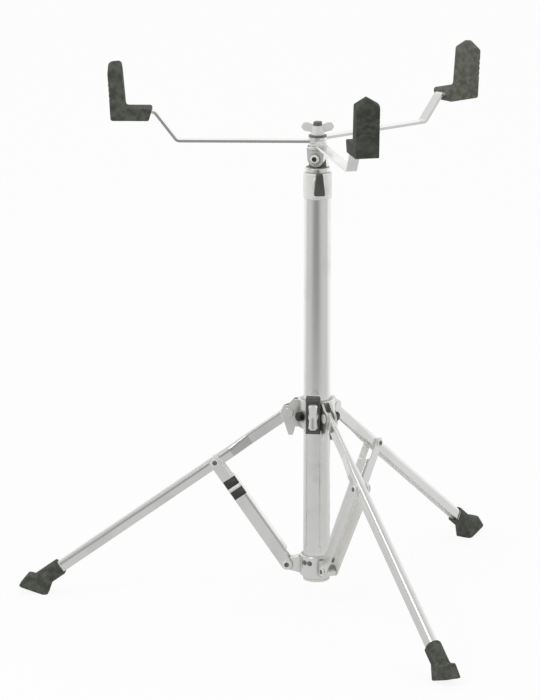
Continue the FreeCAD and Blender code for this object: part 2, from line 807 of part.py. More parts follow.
wing_nut = Piece("basket_wing_nut", s.arm_left_azimuth, height=basket_height)
wing_nut.turn([
    (0, nut_low), (s.nut_hub / 2, nut_low), (s.nut_hub_top / 2, nut_top), (0, nut_top),
])
wing_side = [
    (s.wing_half_span - s.wing_tip_inset, nut_low + s.wing_low_rise),
    (s.wing_half_span, nut_low + s.wing_waist_rise),
    (s.wing_half_span - s.wing_tip_inset, nut_low + s.wing_high_rise),
    (s.wing_half_span - s.wing_crown_inset, nut_low + s.wing_high_rise),
]
wing_nut.pad(
    [(0, nut_low + s.wing_root_rise)] + wing_side + [(0, nut_low + s.wing_waist_rise)]
    + [(-x, z) for x, z in wing_side[::-1]], s.wing_thick)


def is_wing_corner(edge):
    far = abs(edge.CenterOfMass.x) > s.nut_hub.value / 2
    return far and runs_along(FreeCAD.Vector(0, 1, 0), edge)


wing_nut.ease(is_wing_corner, s.wing_round)
wing_nut.turn(ring(0, centre_radius + s.nut_thread_gap, nut_low - s.overrun, nut_top + s.overrun),
              "Groove")
wing_nut.done()

arm_corner = s.arm_bend_at + s.arm_rise_run + s.arm_seat_run


def make_arm(name, azimuth, level):
    arm = Piece("arm_" + name, azimuth, height=basket_height)
    path = [
        (0, level), (s.arm_bend_at, level), (s.arm_bend_at + s.arm_rise_run, s.arm_rise),
        (arm_corner, s.arm_rise),
        (arm_corner + s.arm_upright_lean, s.arm_rise + s.arm_upright_rise),
    ]
    arm.pad(bent_strip(path, s.arm_thick / 2, s.arm_bend_radius), s.arm_width)
    eye = arm.sketch("XY_Plane", circles=[(0, 0, s.arm_eye / 2)], lift=level)
    arm.extrude("Pad", eye, s.arm_thick)
    hole = arm.sketch("XY_Plane", circles=[(0, 0, hub_bolt_radius + s.running_gap)], lift=level)
    arm.extrude("Pocket", hole, s.arm_thick * 2)
    arm.done()


def make_pad(name, azimuth):
    pad = Piece("pad_" + name, azimuth, radius=arm_corner, height=basket_height + s.arm_rise)
    wall_low = s.pad_seat + s.pad_nose
    pad.pad([
        (s.pad_slant - s.pad_reach, -s.pad_under),
        (s.pad_outer_foot - s.pad_heel, -s.pad_under, s.pad_heel, 1),
        (s.pad_outer_foot, s.pad_heel - s.pad_under), (s.pad_outer_top, s.pad_peak),
        (-s.pad_inner_top, s.pad_peak), (-s.pad_inner_foot, wall_low, s.pad_nose, -1),
        (-s.pad_inner_foot - s.pad_nose, s.pad_seat),
        (s.pad_nose - s.pad_reach, s.pad_seat, s.pad_nose, 1),
        (-s.pad_reach, s.pad_seat - s.pad_nose),
    ], s.pad_width)
    half = s.pad_width / 2
    shoulder = s.pad_peak - s.pad_shoulder_drop
    roof = pad.sketch("YZ_Plane", [[
        (0, s.pad_peak), (half, shoulder), (half + s.overrun, shoulder),
        (half + s.overrun, s.pad_peak + s.overrun), (-half - s.overrun, s.pad_peak + s.overrun),
        (-half - s.overrun, shoulder), (-half, shoulder),
    ]], lift=s.pad_outer_top + s.overrun)
    pad.extrude("Pocket", roof, s.reach, "One side")

    def is_outer_rim(edge):
        middle = edge.CenterOfMass
        return middle.x > s.pad_outer_foot.value - s.pad_heel.value and abs(middle.y) > TINY

    pad.ease(is_outer_rim, s.pad_edge)
    slope = (s.pad_inner_foot - s.pad_inner_top) / (s.pad_peak - wall_low)
    for index in range(GROOVES_PER_PAD):
        low = s.pad_seat + s.pad_groove_first + s.pad_groove_pitch * index
        skin = (low - wall_low) * slope - s.pad_inner_foot
        pad.cut(ring(skin - s.overrun, skin + s.pad_groove_depth, low, low + s.pad_groove_width),
                s.pad_width * 2)
    slot = bent_strip([
        (-s.pad_reach - s.overrun, 0), (0, 0),
        (s.arm_upright_lean, s.arm_upright_rise + s.pad_slot_gap),
    ], s.arm_thick / 2 + s.pad_slot_gap, s.arm_bend_radius)
    pad.cut(slot, s.arm_width + s.pad_slot_gap * 2)
    pad.done()


ARMS = (
    ("front", s.arm_front_azimuth), ("left", s.arm_left_azimuth), ("right", s.arm_right_azimuth),
)
for (name, azimuth), level in zip(ARMS, arm_levels):
    make_arm(name, azimuth, level)
    make_pad(name, azimuth)

# Leg collar, drawn about the height of its pivots

sleeve_bore = tube_radius + s.running_gap
sleeve_radius = sleeve_bore + s.sleeve_wall
collar_bore = sleeve_radius + s.press_gap
collar_radius = collar_bore + s.collar_wall
pivot_x = collar_radius + s.collar_pivot_reach
pivot_z = s.collar_pivot_height
lug_slot = s.leg_neck_width + s.side_gap * 2
lug_width = lug_slot + s.lug_wall * 2

collar = Piece("leg_collar", height=pivot_z)
collar.turn(ring(collar_bore, collar_radius, -s.collar_below, s.collar_above, s.collar_edge))
lug_root = collar_radius - s.lug_root_inset
lug_foot = s.collar_edge - s.collar_below
lug_head = s.collar_above - s.collar_edge
lug = [
    (lug_root, lug_foot), (pivot_x - s.lug_foot_inset, lug_foot),
    (pivot_x - s.lug_tip_length, -s.lug_tip_drop), (pivot_x, -s.lug_tip_drop),
    (pivot_x + s.lug_round, 0, s.lug_round, 1), (pivot_x, s.lug_round),
    (pivot_x - s.lug_top_inset, lug_head), (lug_root, lug_head),
]
slot_start = collar_radius + s.lug_slot_gap
lug_gap = [
    (slot_start, -s.lug_tip_drop - s.overrun), (s.reach, -s.lug_tip_drop - s.overrun),
    (s.reach, s.collar_above), (slot_start, s.collar_above),
]
for azimuth in LEG_AZIMUTHS.values():
    collar.pad(lug, lug_width, spin=azimuth)
for azimuth in LEG_AZIMUTHS.values():
    collar.cut(lug_gap, lug_slot, spin=azimuth)
    collar.drill([(pivot_x, 0)], pivot_hole, s.reach, spin=azimuth)
clamp_bore_radius = s.clamp_screw_shank / 2 + s.clamp_bore_gap
clamp_bore = half_disc(tube_radius, s.reach, clamp_bore_radius, s.clamp_screw_rise)
screw_hole = half_disc(tube_radius, pivot_x, clamp_bore_radius, s.clamp_screw_rise)
collar.turn_level(screw_hole, s.clamp_screw_rise, "Groove", s.clamp_azimuth)
bolt_azimuths = [s.collar_bolt_first + THIRD_TURN * index for index in range(3)]
knob_shank = s.collar_bolt_shank / 2
knob_height = -s.collar_bolt_drop
knob_hole = half_disc(tube_radius, pivot_x, knob_shank + s.press_gap, knob_height)
for azimuth in bolt_azimuths:
    collar.turn_level(knob_hole, knob_height, "Groove", azimuth)
collar.done()

sleeve = Piece("collar_sleeve", height=pivot_z)
sleeve.turn(ring(sleeve_bore, sleeve_radius, -s.collar_below - s.sleeve_stand_out,
                 s.collar_above + s.sleeve_stand_out))
sleeve.turn_level(screw_hole, s.clamp_screw_rise, "Groove", s.clamp_azimuth)
sleeve.done()

collar_bolts = []
knob_seat = collar_radius + s.side_gap
knob_end = knob_seat + s.collar_bolt_proud
knob_rim = knob_height + s.collar_bolt_head / 2
for index, azimuth in enumerate(bolt_azimuths, start=1):
    knob = Piece("collar_bolt_%d" % index, azimuth, height=pivot_z)
    knob.turn_level([
        (collar_bore, knob_height), (knob_end, knob_height), (knob_end, knob_rim - s.collar_bolt_edge),
        (knob_end - s.collar_bolt_edge, knob_rim), (knob_seat, knob_rim),
        (knob_seat, knob_height + knob_shank), (collar_bore, knob_height + knob_shank),
    ], knob_height)
    collar_bolts.append(knob)
group("collar_bolts", collar_bolts)

# The clamp housing stands on the ring and keeps clear of the front lug and its rivet.

ear_turn = s.leg_front_azimuth - s.clamp_azimuth
clamp_seat = collar_radius + s.clamp_seat_gap
clamp_front = clamp_seat + s.clamp_depth


def beside_ear(along, aside):
    """A point of the front lug's own directions, in the clamp's drawing from above."""
    return (along * cosine(ear_turn) + aside * sine(ear_turn),
            along * sine(ear_turn) - aside * cosine(ear_turn))


ear_clear = lug_width / 2 + s.clamp_ear_gap
rivet_clear = ear_clear + s.press_gap + s.pivot_head_rise
clamp_inner = beside_ear(root(clamp_seat * clamp_seat - ear_clear * ear_clear), ear_clear)
clamp_waist = beside_ear(pivot_x - s.pivot_head / 2, rivet_clear)
clamp_left_root = root(clamp_seat * clamp_seat - s.clamp_left * s.clamp_left)
clamp = Piece("collar_clamp_block", s.clamp_azimuth, height=pivot_z)
clamp_plan = clamp.sketch("XY_Plane", [[
    (clamp_left_root, -s.clamp_left), (clamp_front, -s.clamp_left), (clamp_front, clamp_waist[1]),
    clamp_waist, clamp_inner + (clamp_seat, -1),
]], lift=-s.clamp_below)
clamp.extrude("Pad", clamp_plan, s.clamp_below + s.clamp_above, "One side")


def is_clamp_brow(edge):
    return edge.CenterOfMass.x > clamp_front.value - TINY and runs_along(FreeCAD.Vector(0, 1, 0), edge)


def is_clamp_cheek(edge):
    return edge.CenterOfMass.x > clamp_front.value - TINY and runs_along(FreeCAD.Vector(0, 0, 1), edge)


clamp.ease(is_clamp_brow, s.clamp_corner, "Chamfer")
clamp.ease(is_clamp_cheek, s.clamp_round)
clamp.turn_level(clamp_bore, s.clamp_screw_rise, "Groove")
clamp.done()

handle_start = clamp_front + s.handle_gap
handle_axis = clamp_front + s.handle_reach
clamp_screw_radius = s.clamp_screw_shank / 2
clamp_screw_end = handle_start + s.handle_socket
clamp_screw = Piece("collar_screw", s.clamp_azimuth, height=pivot_z)
clamp_screw.turn_level(half_disc(tube_radius + s.clamp_screw_tip_gap, clamp_screw_end,
                                 clamp_screw_radius, s.clamp_screw_rise), s.clamp_screw_rise)
clamp_screw.done()

handle = Piece("collar_handle", s.clamp_azimuth, height=pivot_z)
handle_low = s.clamp_screw_rise - s.handle_length / 2
handle_high = s.clamp_screw_rise + s.handle_length / 2
handle_waist = handle_axis + s.handle_middle / 2
handle_wide = handle_axis + s.handle_end / 2
handle.turn_upright([
    (handle_axis, handle_low), (handle_wide - s.handle_nose, handle_low),
    (handle_wide, handle_low + s.handle_nose), (handle_waist, s.clamp_screw_rise),
    (handle_wide, handle_high - s.handle_nose), (handle_wide - s.handle_nose, handle_high),
    (handle_axis, handle_high),
], handle_axis, handle_low, handle_high)
handle.turn_level(half_disc(handle_start, handle_axis, s.handle_neck / 2, s.clamp_screw_rise),
                  s.clamp_screw_rise)
handle.turn_level(half_disc(0, clamp_screw_end, clamp_screw_radius + s.press_gap, s.clamp_screw_rise),
                  s.clamp_screw_rise, "Groove")
handle.done()

group("upper_pivots", [
    cross_rivet("upper_pivot_" + name, azimuth, pivot_x, pivot_z, lug_width + s.press_gap * 2)
    for name, azimuth in LEG_AZIMUTHS.items()
])

# Legs, struts and feet. A leg is drawn upright below its upper pivot, a strut
# upright above its lower pivot, and both are then leaned into place. The boot's
# heel has to meet the floor, and that sets the leg's length.

leg_half = s.leg_depth / 2
leg_side = s.leg_width / 2
leg_sine, leg_cosine = sine(s.leg_angle), cosine(s.leg_angle)
sole_angle = s.leg_angle - s.foot_sole_tilt
sole_sine, sole_cosine = sine(sole_angle), cosine(sole_angle)
heel_reach = s.foot_sole_shift + s.foot_sole_radius
heel_drop = pivot_z + s.foot_facet_depth - heel_reach * sole_cosine * leg_sine
leg_bare = heel_drop / leg_cosine + heel_reach * sole_sine - s.foot_sole_at
joint_x = pivot_x + s.leg_to_strut_pivot * leg_sine
joint_z = pivot_z - s.leg_to_strut_pivot * leg_cosine
strut_run = joint_x - lower_pivot_radius
strut_rise = joint_z - lower_height
strut_length = root(strut_run * strut_run + strut_rise * strut_rise)
strut_lean = math.degrees(math.atan2(strut_run.value, strut_rise.value))
strut_rivet_hole = s.strut_rivet_shank / 2 + s.running_gap


def in_leg(radius, height):
    """A point of the stand's own radius and height, in the leg's drawing."""
    out, up = radius - pivot_x, height - pivot_z
    return (out * leg_cosine + up * leg_sine, up * leg_cosine - out * leg_sine)


def channel_back(half, side):
    """Closed side of the leg's section, from one lip round the back to the other."""
    middle = half - side
    return [
        (-half, -side), (middle, -side, side, 1), (half, 0, side, 1), (middle, side), (-half, side),
    ]


def channel(half, side):
    """Section of the leg: a round back and two sides, open toward the column."""
    inner = side - s.leg_wall
    middle = half - side
    return channel_back(half, side) + [
        (-half, inner), (middle, inner, inner, -1), (middle + inner, 0, inner, -1),
        (middle, -inner), (-half, -inner),
    ]


def rounded_end(radius, height, way):
    """Waste outside a round end; way +1 for an upper end, -1 for a lower one."""
    far = radius + s.reach
    return [
        (radius, height), (far, height), (far, height + far * way), (-far, height + far * way),
        (-far, height), (-radius, height, radius, -way), (0, height + radius * way, radius, -way),
    ]


def make_leg(name, azimuth):
    leg = Piece("leg_" + name, azimuth, -s.leg_angle.value, pivot_x, pivot_z)
    narrow = channel(leg_half, s.leg_neck_width / 2)
    full = channel(leg_half, leg_side)
    shoulder = s.leg_neck_length + s.leg_shoulder_length
    neck = leg.sketch("XY_Plane", [narrow], lift=-s.leg_neck_length)
    leg.extrude("Pad", neck, leg_half + s.leg_neck_length, "One side")
    throat = leg.sketch("XY_Plane", [narrow], lift=-s.leg_neck_length)
    spread = leg.sketch("XY_Plane", [full], lift=-shoulder)
    leg.loft(throat, spread)
    shaft = leg.sketch("XY_Plane", [full], lift=-shoulder)
    leg.extrude("Pad", shaft, leg_bare + s.leg_socket_length - shoulder, "One side", True)
    leg.cut(rounded_end(leg_half, 0, 1), s.leg_width * 2)
    leg.drill([(0, 0)], pivot_hole, s.leg_width * 2)
    leg.drill([(0, -s.leg_to_strut_pivot)], strut_rivet_hole, s.leg_width * 2)
    leg.done()


def make_foot(name, azimuth):
    foot = Piece("foot_" + name, azimuth, -s.leg_angle.value, pivot_x, pivot_z)
    mouth = -leg_bare
    outside = channel_back(leg_half + s.foot_wall, leg_side + s.foot_wall)
    sleeve = foot.sketch("XY_Plane", [outside], lift=mouth)
    foot.extrude("Pad", sleeve, s.foot_sleeve_length, "One side", True)
    sole = foot.sketch("XY_Plane", circles=[(-s.foot_sole_shift, 0, s.foot_sole_radius)],
                       spin=sole_angle, lift=mouth - s.foot_sole_at)
    foot.extrude("Pad", sole, s.foot_skirt_height, "One side", taper=-s.foot_skirt_draft)
    ground = pivot_x + (leg_bare + s.foot_sole_at) * leg_sine
    inside, beyond = ground - s.reach, ground + s.reach
    floor = sized(0)
    foot.cut([
        in_leg(inside, floor), in_leg(inside, -s.reach),
        in_leg(beyond, -s.reach), in_leg(beyond, floor),
    ], s.reach)
    socket = channel_back(leg_half + s.foot_socket_gap, leg_side + s.foot_socket_gap)
    opening = foot.sketch("XY_Plane", [socket], lift=mouth)
    foot.extrude("Pocket", opening, s.leg_socket_length + s.foot_socket_gap, "One side")
    foot.done()


def make_strut(name, azimuth):
    strut = Piece("strut_" + name, azimuth, strut_lean, lower_pivot_radius, lower_height)
    lip = s.strut_lip
    web_inside = -leg_half - s.strut_web_gap
    web_outside = web_inside - s.strut_wall
    bend = s.strut_corner
    inner_bend = bend - s.strut_wall
    far_side = strut_outer_half
    near_side = strut_inner_half
    section = [
        (lip, far_side), (web_outside + bend, far_side, bend, 1), (web_outside, far_side - bend),
        (web_outside, bend - far_side, bend, 1), (web_outside + bend, -far_side),
        (lip, -far_side), (lip, -near_side), (web_inside + inner_bend, -near_side, inner_bend, -1),
        (web_inside, inner_bend - near_side), (web_inside, near_side - inner_bend, inner_bend, -1),
        (web_inside + inner_bend, near_side), (lip, near_side),
    ]
    profile = strut.sketch("XY_Plane", [section], lift=-lip)
    strut.extrude("Pad", profile, strut_length + lip * 2, "One side")
    through = strut_outer_half * 4
    strut.cut(rounded_end(lip, strut_length, 1), through)
    strut.cut(rounded_end(lip, sized(0), -1), through)
    back = web_outside - s.overrun
    top_start = strut_length - s.strut_top_cutback
    strut.cut([
        (-lip, strut_length + s.reach), (back, strut_length + s.reach),
        (back, top_start - s.strut_cut_slope), (-lip, top_start),
    ], through)
    strut.cut([
        (-lip, -s.reach), (-lip, s.strut_bottom_cutback),
        (back, s.strut_bottom_cutback + s.strut_cut_slope), (back, -s.reach),
    ], through)
    strut.drill([(0, 0)], pivot_hole, through)
    strut.drill([(0, strut_length)], strut_rivet_hole, through)
    strut.done()


def make_strut_rivets(name, azimuth):
    """A headed pin in each side of the strut's fork, short of the leg between them."""
    seat = strut_outer_half + s.press_gap
    tip = seat + s.strut_rivet_rise
    end = rivet_end(sized(0), strut_inner_half, seat, s.strut_rivet_shank, s.strut_rivet_head,
                    s.strut_rivet_rise)
    outline = [(0, strut_inner_half)] + end + [(0, tip)]
    pins = []
    for side, corners in (("near", mirrored(outline)), ("far", outline)):
        pin = Piece("strut_rivet_%s_%s" % (name, side), azimuth, strut_lean, lower_pivot_radius,
                    lower_height)
        pin.turn_across(corners, sized(0), strut_length)
        pins.append(pin)
    group("strut_rivets_" + name, pins)


for name, azimuth in LEG_AZIMUTHS.items():
    make_leg(name, azimuth)
    make_foot(name, azimuth)
    make_strut(name, azimuth)
    make_strut_rivets(name, azimuth)

# Check everything, then write one file per node.

doc.recompute()
for item in doc.Objects:
    if "Invalid" in item.State or "Error" in item.State:
        raise RuntimeError("%s did not build" % item.Label)
os.makedirs("parts", exist_ok=True)
for node in nodes:
    if node.Shape.isNull() or not node.Shape.isValid():
        raise RuntimeError("%s has no valid shape" % node.Label)
    node.Shape.exportStep(os.path.join("parts", node.Label + ".step"))
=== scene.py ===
import json
import math

import bmesh
import bpy
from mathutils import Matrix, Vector


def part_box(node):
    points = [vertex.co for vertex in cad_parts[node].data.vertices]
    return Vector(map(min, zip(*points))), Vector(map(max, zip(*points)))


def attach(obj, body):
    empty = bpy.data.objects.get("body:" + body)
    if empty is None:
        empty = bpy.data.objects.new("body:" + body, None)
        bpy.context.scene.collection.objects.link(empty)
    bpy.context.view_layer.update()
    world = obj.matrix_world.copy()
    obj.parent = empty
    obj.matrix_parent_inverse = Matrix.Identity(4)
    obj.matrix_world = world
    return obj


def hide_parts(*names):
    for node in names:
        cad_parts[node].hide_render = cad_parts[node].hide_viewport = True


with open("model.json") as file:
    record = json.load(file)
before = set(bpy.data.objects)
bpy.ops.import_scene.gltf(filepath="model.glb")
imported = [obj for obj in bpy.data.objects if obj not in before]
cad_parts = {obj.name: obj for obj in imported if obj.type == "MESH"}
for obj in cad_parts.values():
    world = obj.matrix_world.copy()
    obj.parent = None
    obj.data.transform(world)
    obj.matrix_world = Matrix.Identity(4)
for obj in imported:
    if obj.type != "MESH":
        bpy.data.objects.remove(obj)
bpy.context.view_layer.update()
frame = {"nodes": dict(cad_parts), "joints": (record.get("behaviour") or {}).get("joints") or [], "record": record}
nodes = frame["nodes"]
joints = {joint["name"]: joint for joint in frame["joints"]}

# Lengths are in metres, in the shared frame of the solids

SIDES = ("left", "right", "front")
TURN = 2 * math.pi
UP = Vector((0.0, 0.0, 1.0))


# Small helpers for meshes

def piece(name, points, faces, body, material, replaces=()):
    """A smooth mesh that rides on a body and takes the place of CAD nodes."""
    mesh = bpy.data.meshes.new(name)
    mesh.from_pydata([tuple(point) for point in points], [], faces)
    mesh.polygons.foreach_set("use_smooth", [True] * len(mesh.polygons))
    shell = bmesh.new()
    shell.from_mesh(mesh)
    bmesh.ops.recalc_face_normals(shell, faces=shell.faces)
    shell.to_mesh(mesh)
    shell.free()
    made = bpy.data.objects.new(name, mesh)
    bpy.context.scene.collection.objects.link(made)
    made.data.materials.append(material)
    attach(made, body)
    if replaces:
        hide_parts(*replaces)
    return made


def strip_faces(rows, count, closed=True):
    """Quads between neighbouring rows of points; a closed row goes once round."""
    faces = []
    last = count if closed else count - 1
    for row in range(rows - 1):
        for column in range(last):
            beside = (column + 1) % count
            near, far = row * count, (row + 1) * count
            faces.append((near + column, near + beside, far + beside, far + column))
    return faces


def node_points(name):
    """Corner points of a CAD node's mesh."""
    return [vertex.co.copy() for vertex in nodes[name].data.vertices]


def span(points, origin, way):
    """Lowest and highest reach of the points from origin along a direction."""
    reaches = [(point - origin).dot(way) for point in points]
    return min(reaches), max(reaches)


# Small helpers for shader nodes

def add_node(tree, kind, links=None, **settings):
    """A shader node; links maps its inputs to a socket or a plain value."""
    node = tree.nodes.new(kind)
    for key, value in settings.items():
        setattr(node, key, value)
    for key, value in (links or {}).items():
        if isinstance(value, bpy.types.NodeSocket):
            tree.links.new(value, node.inputs[key])
        else:
            node.inputs[key].default_value = value
    return node


def calculate(tree, operation, *values, **settings):
    """Result of one calculation on sockets or plain values."""
    node = add_node(tree, "ShaderNodeMath", dict(enumerate(values)), operation=operation, **settings)
    return node.outputs["Value"]


def ramp(tree, value, low, high):
    """Value mapped so that low gives 0 and high gives 1."""
    node = add_node(tree, "ShaderNodeMapRange", {"Value": value, "From Min": low, "From Max": high},
                    interpolation_type="SMOOTHSTEP")
    return node.outputs["Result"]


def noise(tree, place, scale, detail, roughness=0.5):
    """Cloudy values over a surface."""
    links = {"Vector": place, "Scale": scale, "Detail": detail, "Roughness": roughness}
    return add_node(tree, "ShaderNodeTexNoise", links).outputs["Fac"]


def shader_group(name, inputs, outputs):
    """A node group with number inputs, and its own input and output nodes."""
    group = bpy.data.node_groups.new(name, "ShaderNodeTree")
    for label, value in inputs.items():
        socket = group.interface.new_socket(label, in_out="INPUT", socket_type="NodeSocketFloat")
        socket.default_value = value
    for label in outputs:
        kind = "NodeSocketVector" if label == "Normal" else "NodeSocketFloat"
        group.interface.new_socket(label, in_out="OUTPUT", socket_type=kind)
    return group, group.nodes.new("NodeGroupInput"), group.nodes.new("NodeGroupOutput")


# Shader groups shared by the finishes

SMUDGE_RANGE = (0.48, 0.72)
SCRATCH_RANGE = (0.62, 0.74)
SCRATCH_STRETCH = (1.0, 1.0, 0.12)
SCRATCH_ROTATION = (0.5, 0.3, 0.9)
TONE_RANGE = (0.35, 0.68)
DUST_SLOPE_RANGE = (-0.2, 1.0)
DUST_PATCH_RANGE = (0.4, 0.75)
EDGE_RANGE = (0.995, 0.9)
EDGE_SAMPLES = 4
RECESS_RANGE = (0.82, 0.52)
RECESS_SAMPLES = 12


def make_handling_group():
    """Smudges and fine scratches of metal that is gripped and folded often."""
    group, given, result = shader_group(
        "handling", {"Smudge Scale": 30.0, "Scratch Scale": 500.0}, ("Smudge", "Scratch"))
    place = add_node(group, "ShaderNodeTexCoord").outputs["Object"]
    cloud = noise(group, place, given.outputs["Smudge Scale"], detail=5.0, roughness=0.6)
    stretched = add_node(group, "ShaderNodeMapping", {
        "Vector": place, "Scale": SCRATCH_STRETCH, "Rotation": SCRATCH_ROTATION})
    streak = noise(group, stretched.outputs["Vector"], given.outputs["Scratch Scale"], detail=2.0)
    group.links.new(ramp(group, cloud, *SMUDGE_RANGE), result.inputs["Smudge"])
    group.links.new(ramp(group, streak, *SCRATCH_RANGE), result.inputs["Scratch"])
    return group


def make_grain_group():
    """Fine moulded grain with a slow change of tone."""
    group, given, result = shader_group(
        "moulded_grain", {"Grain Scale": 1500.0, "Tone Scale": 60.0}, ("Height", "Tone"))
    place = add_node(group, "ShaderNodeTexCoord").outputs["Object"]
    grain = noise(group, place, given.outputs["Grain Scale"], detail=3.0, roughness=0.65)
    tone = noise(group, place, given.outputs["Tone Scale"], detail=4.0)
    group.links.new(grain, result.inputs["Height"])
    group.links.new(ramp(group, tone, *TONE_RANGE), result.inputs["Tone"])
    return group


def make_dust_group():
    """Dust that lies on faces that look up."""
    group, given, result = shader_group("dust", {"Scale": 120.0}, ("Mask",))
    facing = add_node(group, "ShaderNodeNewGeometry").outputs["Normal"]
    upward = add_node(group, "ShaderNodeSeparateXYZ", {"Vector": facing}).outputs["Z"]
    place = add_node(group, "ShaderNodeTexCoord").outputs["Object"]
    patch = noise(group, place, given.outputs["Scale"], detail=6.0, roughness=0.7)
    lying = calculate(group, "MULTIPLY", ramp(group, upward, *DUST_SLOPE_RANGE),
                      ramp(group, patch, *DUST_PATCH_RANGE))
    group.links.new(lying, result.inputs["Mask"])
    return group


def make_edge_group():
    """Softened edges: the normal rounds over, and a mask shows where."""
    group, given, result = shader_group("soft_edge", {"Radius": 0.0004}, ("Normal", "Edge"))
    rounded = add_node(group, "ShaderNodeBevel", {"Radius": given.outputs["Radius"]}, samples=EDGE_SAMPLES)
    flat = add_node(group, "ShaderNodeNewGeometry").outputs["Normal"]
    match = add_node(group, "ShaderNodeVectorMath", {0: rounded.outputs["Normal"], 1: flat},
                     operation="DOT_PRODUCT")
    group.links.new(rounded.outputs["Normal"], result.inputs["Normal"])
    group.links.new(ramp(group, match.outputs["Value"], *EDGE_RANGE), result.inputs["Edge"])
    return group


def make_recess_group():
    """Mask of corners and channels that little light reaches."""
    group, given, result = shader_group("recess", {"Distance": 0.012}, ("Mask",))
    open_sky = add_node(group, "ShaderNodeAmbientOcclusion", {"Distance": given.outputs["Distance"]},
                        samples=RECESS_SAMPLES)
    group.links.new(ramp(group, open_sky.outputs["AO"], *RECESS_RANGE), result.inputs["Mask"])
    return group


HANDLING = make_handling_group()
GRAIN = make_grain_group()
DUST = make_dust_group()
SOFT_EDGE = make_edge_group()
RECESS = make_recess_group()


# Finishes

class Finish:
    """A material with one Principled shader, built up by small steps."""

    def __init__(self, name, colour, roughness, **sockets):
        self.material = bpy.data.materials.new(name)
        self.material.use_nodes = True
        self.tree = self.material.node_tree
        self.shader = self.tree.nodes["Principled BSDF"]
        self.shader.inputs["Base Color"].default_value = (*colour, 1.0)
        self.shader.inputs["Roughness"].default_value = roughness
        for label, value in sockets.items():
            self.shader.inputs[label.replace("_", " ")].default_value = value
        self.material.diffuse_color = (*colour, 1.0)

    def group(self, group, **values):
        """Place a shared group with values of its own."""
        links = {label.replace("_", " "): value for label, value in values.items()}
        return add_node(self.tree, "ShaderNodeGroup", links, node_tree=group)

    def socket(self, label):
        """A socket of the shader, and the link or value that it holds so far."""
        socket = self.shader.inputs[label]
        held = socket.links[0].from_socket if socket.is_linked else socket.default_value
        return socket, held

    def tint(self, mask, colour, share):
        """Mix a colour over the base where the mask shows."""
        base, under = self.socket("Base Color")
        strength = calculate(self.tree, "MULTIPLY", mask, share)
        mix = add_node(self.tree, "ShaderNodeMix", {"Factor": strength, "A": under, "B": (*colour, 1.0)},
                       data_type="RGBA", clamp_factor=True)
        self.tree.links.new(mix.outputs["Result"], base)

    def shift(self, label, mask, amount):
        """Raise or lower a number of the shader where the mask shows."""
        socket, before = self.socket(label)
        after = calculate(self.tree, "MULTIPLY_ADD", mask, amount, before, use_clamp=True)
        self.tree.links.new(after, socket)

    def roughen(self, mask, amount):
        """Make the surface duller where the mask shows."""
        self.shift("Roughness", mask, amount)

    def bump(self, height, distance, normal=None):
        """Raise the surface by a height, over a normal that is already softened."""
        links = {"Height": height, "Distance": distance, "Strength": 1.0}
        if normal:
            links["Normal"] = normal
        node = add_node(self.tree, "ShaderNodeBump", links)
        self.tree.links.new(node.outputs["Normal"], self.shader.inputs["Normal"])


def make_chrome(name, painted_recess_tone):
    """Bright plate with finger smudges and fine scratches, and a painted tone in its recesses: painted light where
    the tone is pale, painted shade where it is dark.
    """
    finish = Finish(name, colour=(0.90, 0.90, 0.885), roughness=0.20, Metallic=1.0)
    handled = finish.group(HANDLING, Smudge_Scale=26.0, Scratch_Scale=420.0)
    edge = finish.group(SOFT_EDGE, Radius=0.0004)
    recess = finish.group(RECESS, Distance=0.026)
    finish.tint(handled.outputs["Smudge"], colour=(0.78, 0.775, 0.75), share=0.5)
    # The recess tone is painted: a pale one is painted light in channels, a dark one is painted shade in hollows.
    # The metal is also made less metallic and rougher there.
    finish.tint(recess.outputs["Mask"], colour=painted_recess_tone, share=0.95)
    finish.shift("Metallic", recess.outputs["Mask"], amount=-0.95)
    finish.roughen(recess.outputs["Mask"], amount=0.4)
    finish.roughen(handled.outputs["Smudge"], amount=0.08)
    finish.roughen(handled.outputs["Scratch"], amount=0.05)
    finish.bump(handled.outputs["Scratch"], distance=0.000004, normal=edge.outputs["Normal"])
    return finish.material


def make_satin():
    """Cast and tumbled metal, duller than the plate."""
    finish = Finish("satin_casting", colour=(0.86, 0.86, 0.84), roughness=0.36, Metallic=0.45)
    grain = finish.group(GRAIN, Grain_Scale=1800.0, Tone_Scale=70.0)
    edge = finish.group(SOFT_EDGE, Radius=0.0006)
    finish.tint(grain.outputs["Tone"], colour=(0.78, 0.78, 0.76), share=0.6)
    finish.roughen(grain.outputs["Tone"], amount=0.12)
    finish.bump(grain.outputs["Height"], distance=0.00002, normal=edge.outputs["Normal"])
    return finish.material


def make_dark_steel():
    """Black oxide, rubbed bright at its edges."""
    finish = Finish("black_oxide", colour=(0.035, 0.035, 0.034), roughness=0.38, Metallic=0.6)
    handled = finish.group(HANDLING, Smudge_Scale=160.0, Scratch_Scale=900.0)
    edge = finish.group(SOFT_EDGE, Radius=0.0004)
    finish.tint(handled.outputs["Smudge"], colour=(0.09, 0.085, 0.08), share=0.6)
    finish.tint(edge.outputs["Edge"], colour=(0.30, 0.29, 0.28), share=0.35)
    finish.roughen(handled.outputs["Smudge"], amount=0.12)
    finish.bump(handled.outputs["Scratch"], distance=0.000006, normal=edge.outputs["Normal"])
    return finish.material


def make_worn_steel():
    """Plain steel of rivets and bolts, dulled and grey."""
    finish = Finish("worn_steel", colour=(0.22, 0.22, 0.21), roughness=0.40, Metallic=0.8)
    handled = finish.group(HANDLING, Smudge_Scale=180.0, Scratch_Scale=900.0)
    edge = finish.group(SOFT_EDGE, Radius=0.0004)
    finish.tint(handled.outputs["Smudge"], colour=(0.12, 0.118, 0.11), share=0.7)
    finish.tint(edge.outputs["Edge"], colour=(0.45, 0.45, 0.43), share=0.4)
    finish.roughen(handled.outputs["Smudge"], amount=0.12)
    finish.bump(handled.outputs["Scratch"], distance=0.000006, normal=edge.outputs["Normal"])
    return finish.material


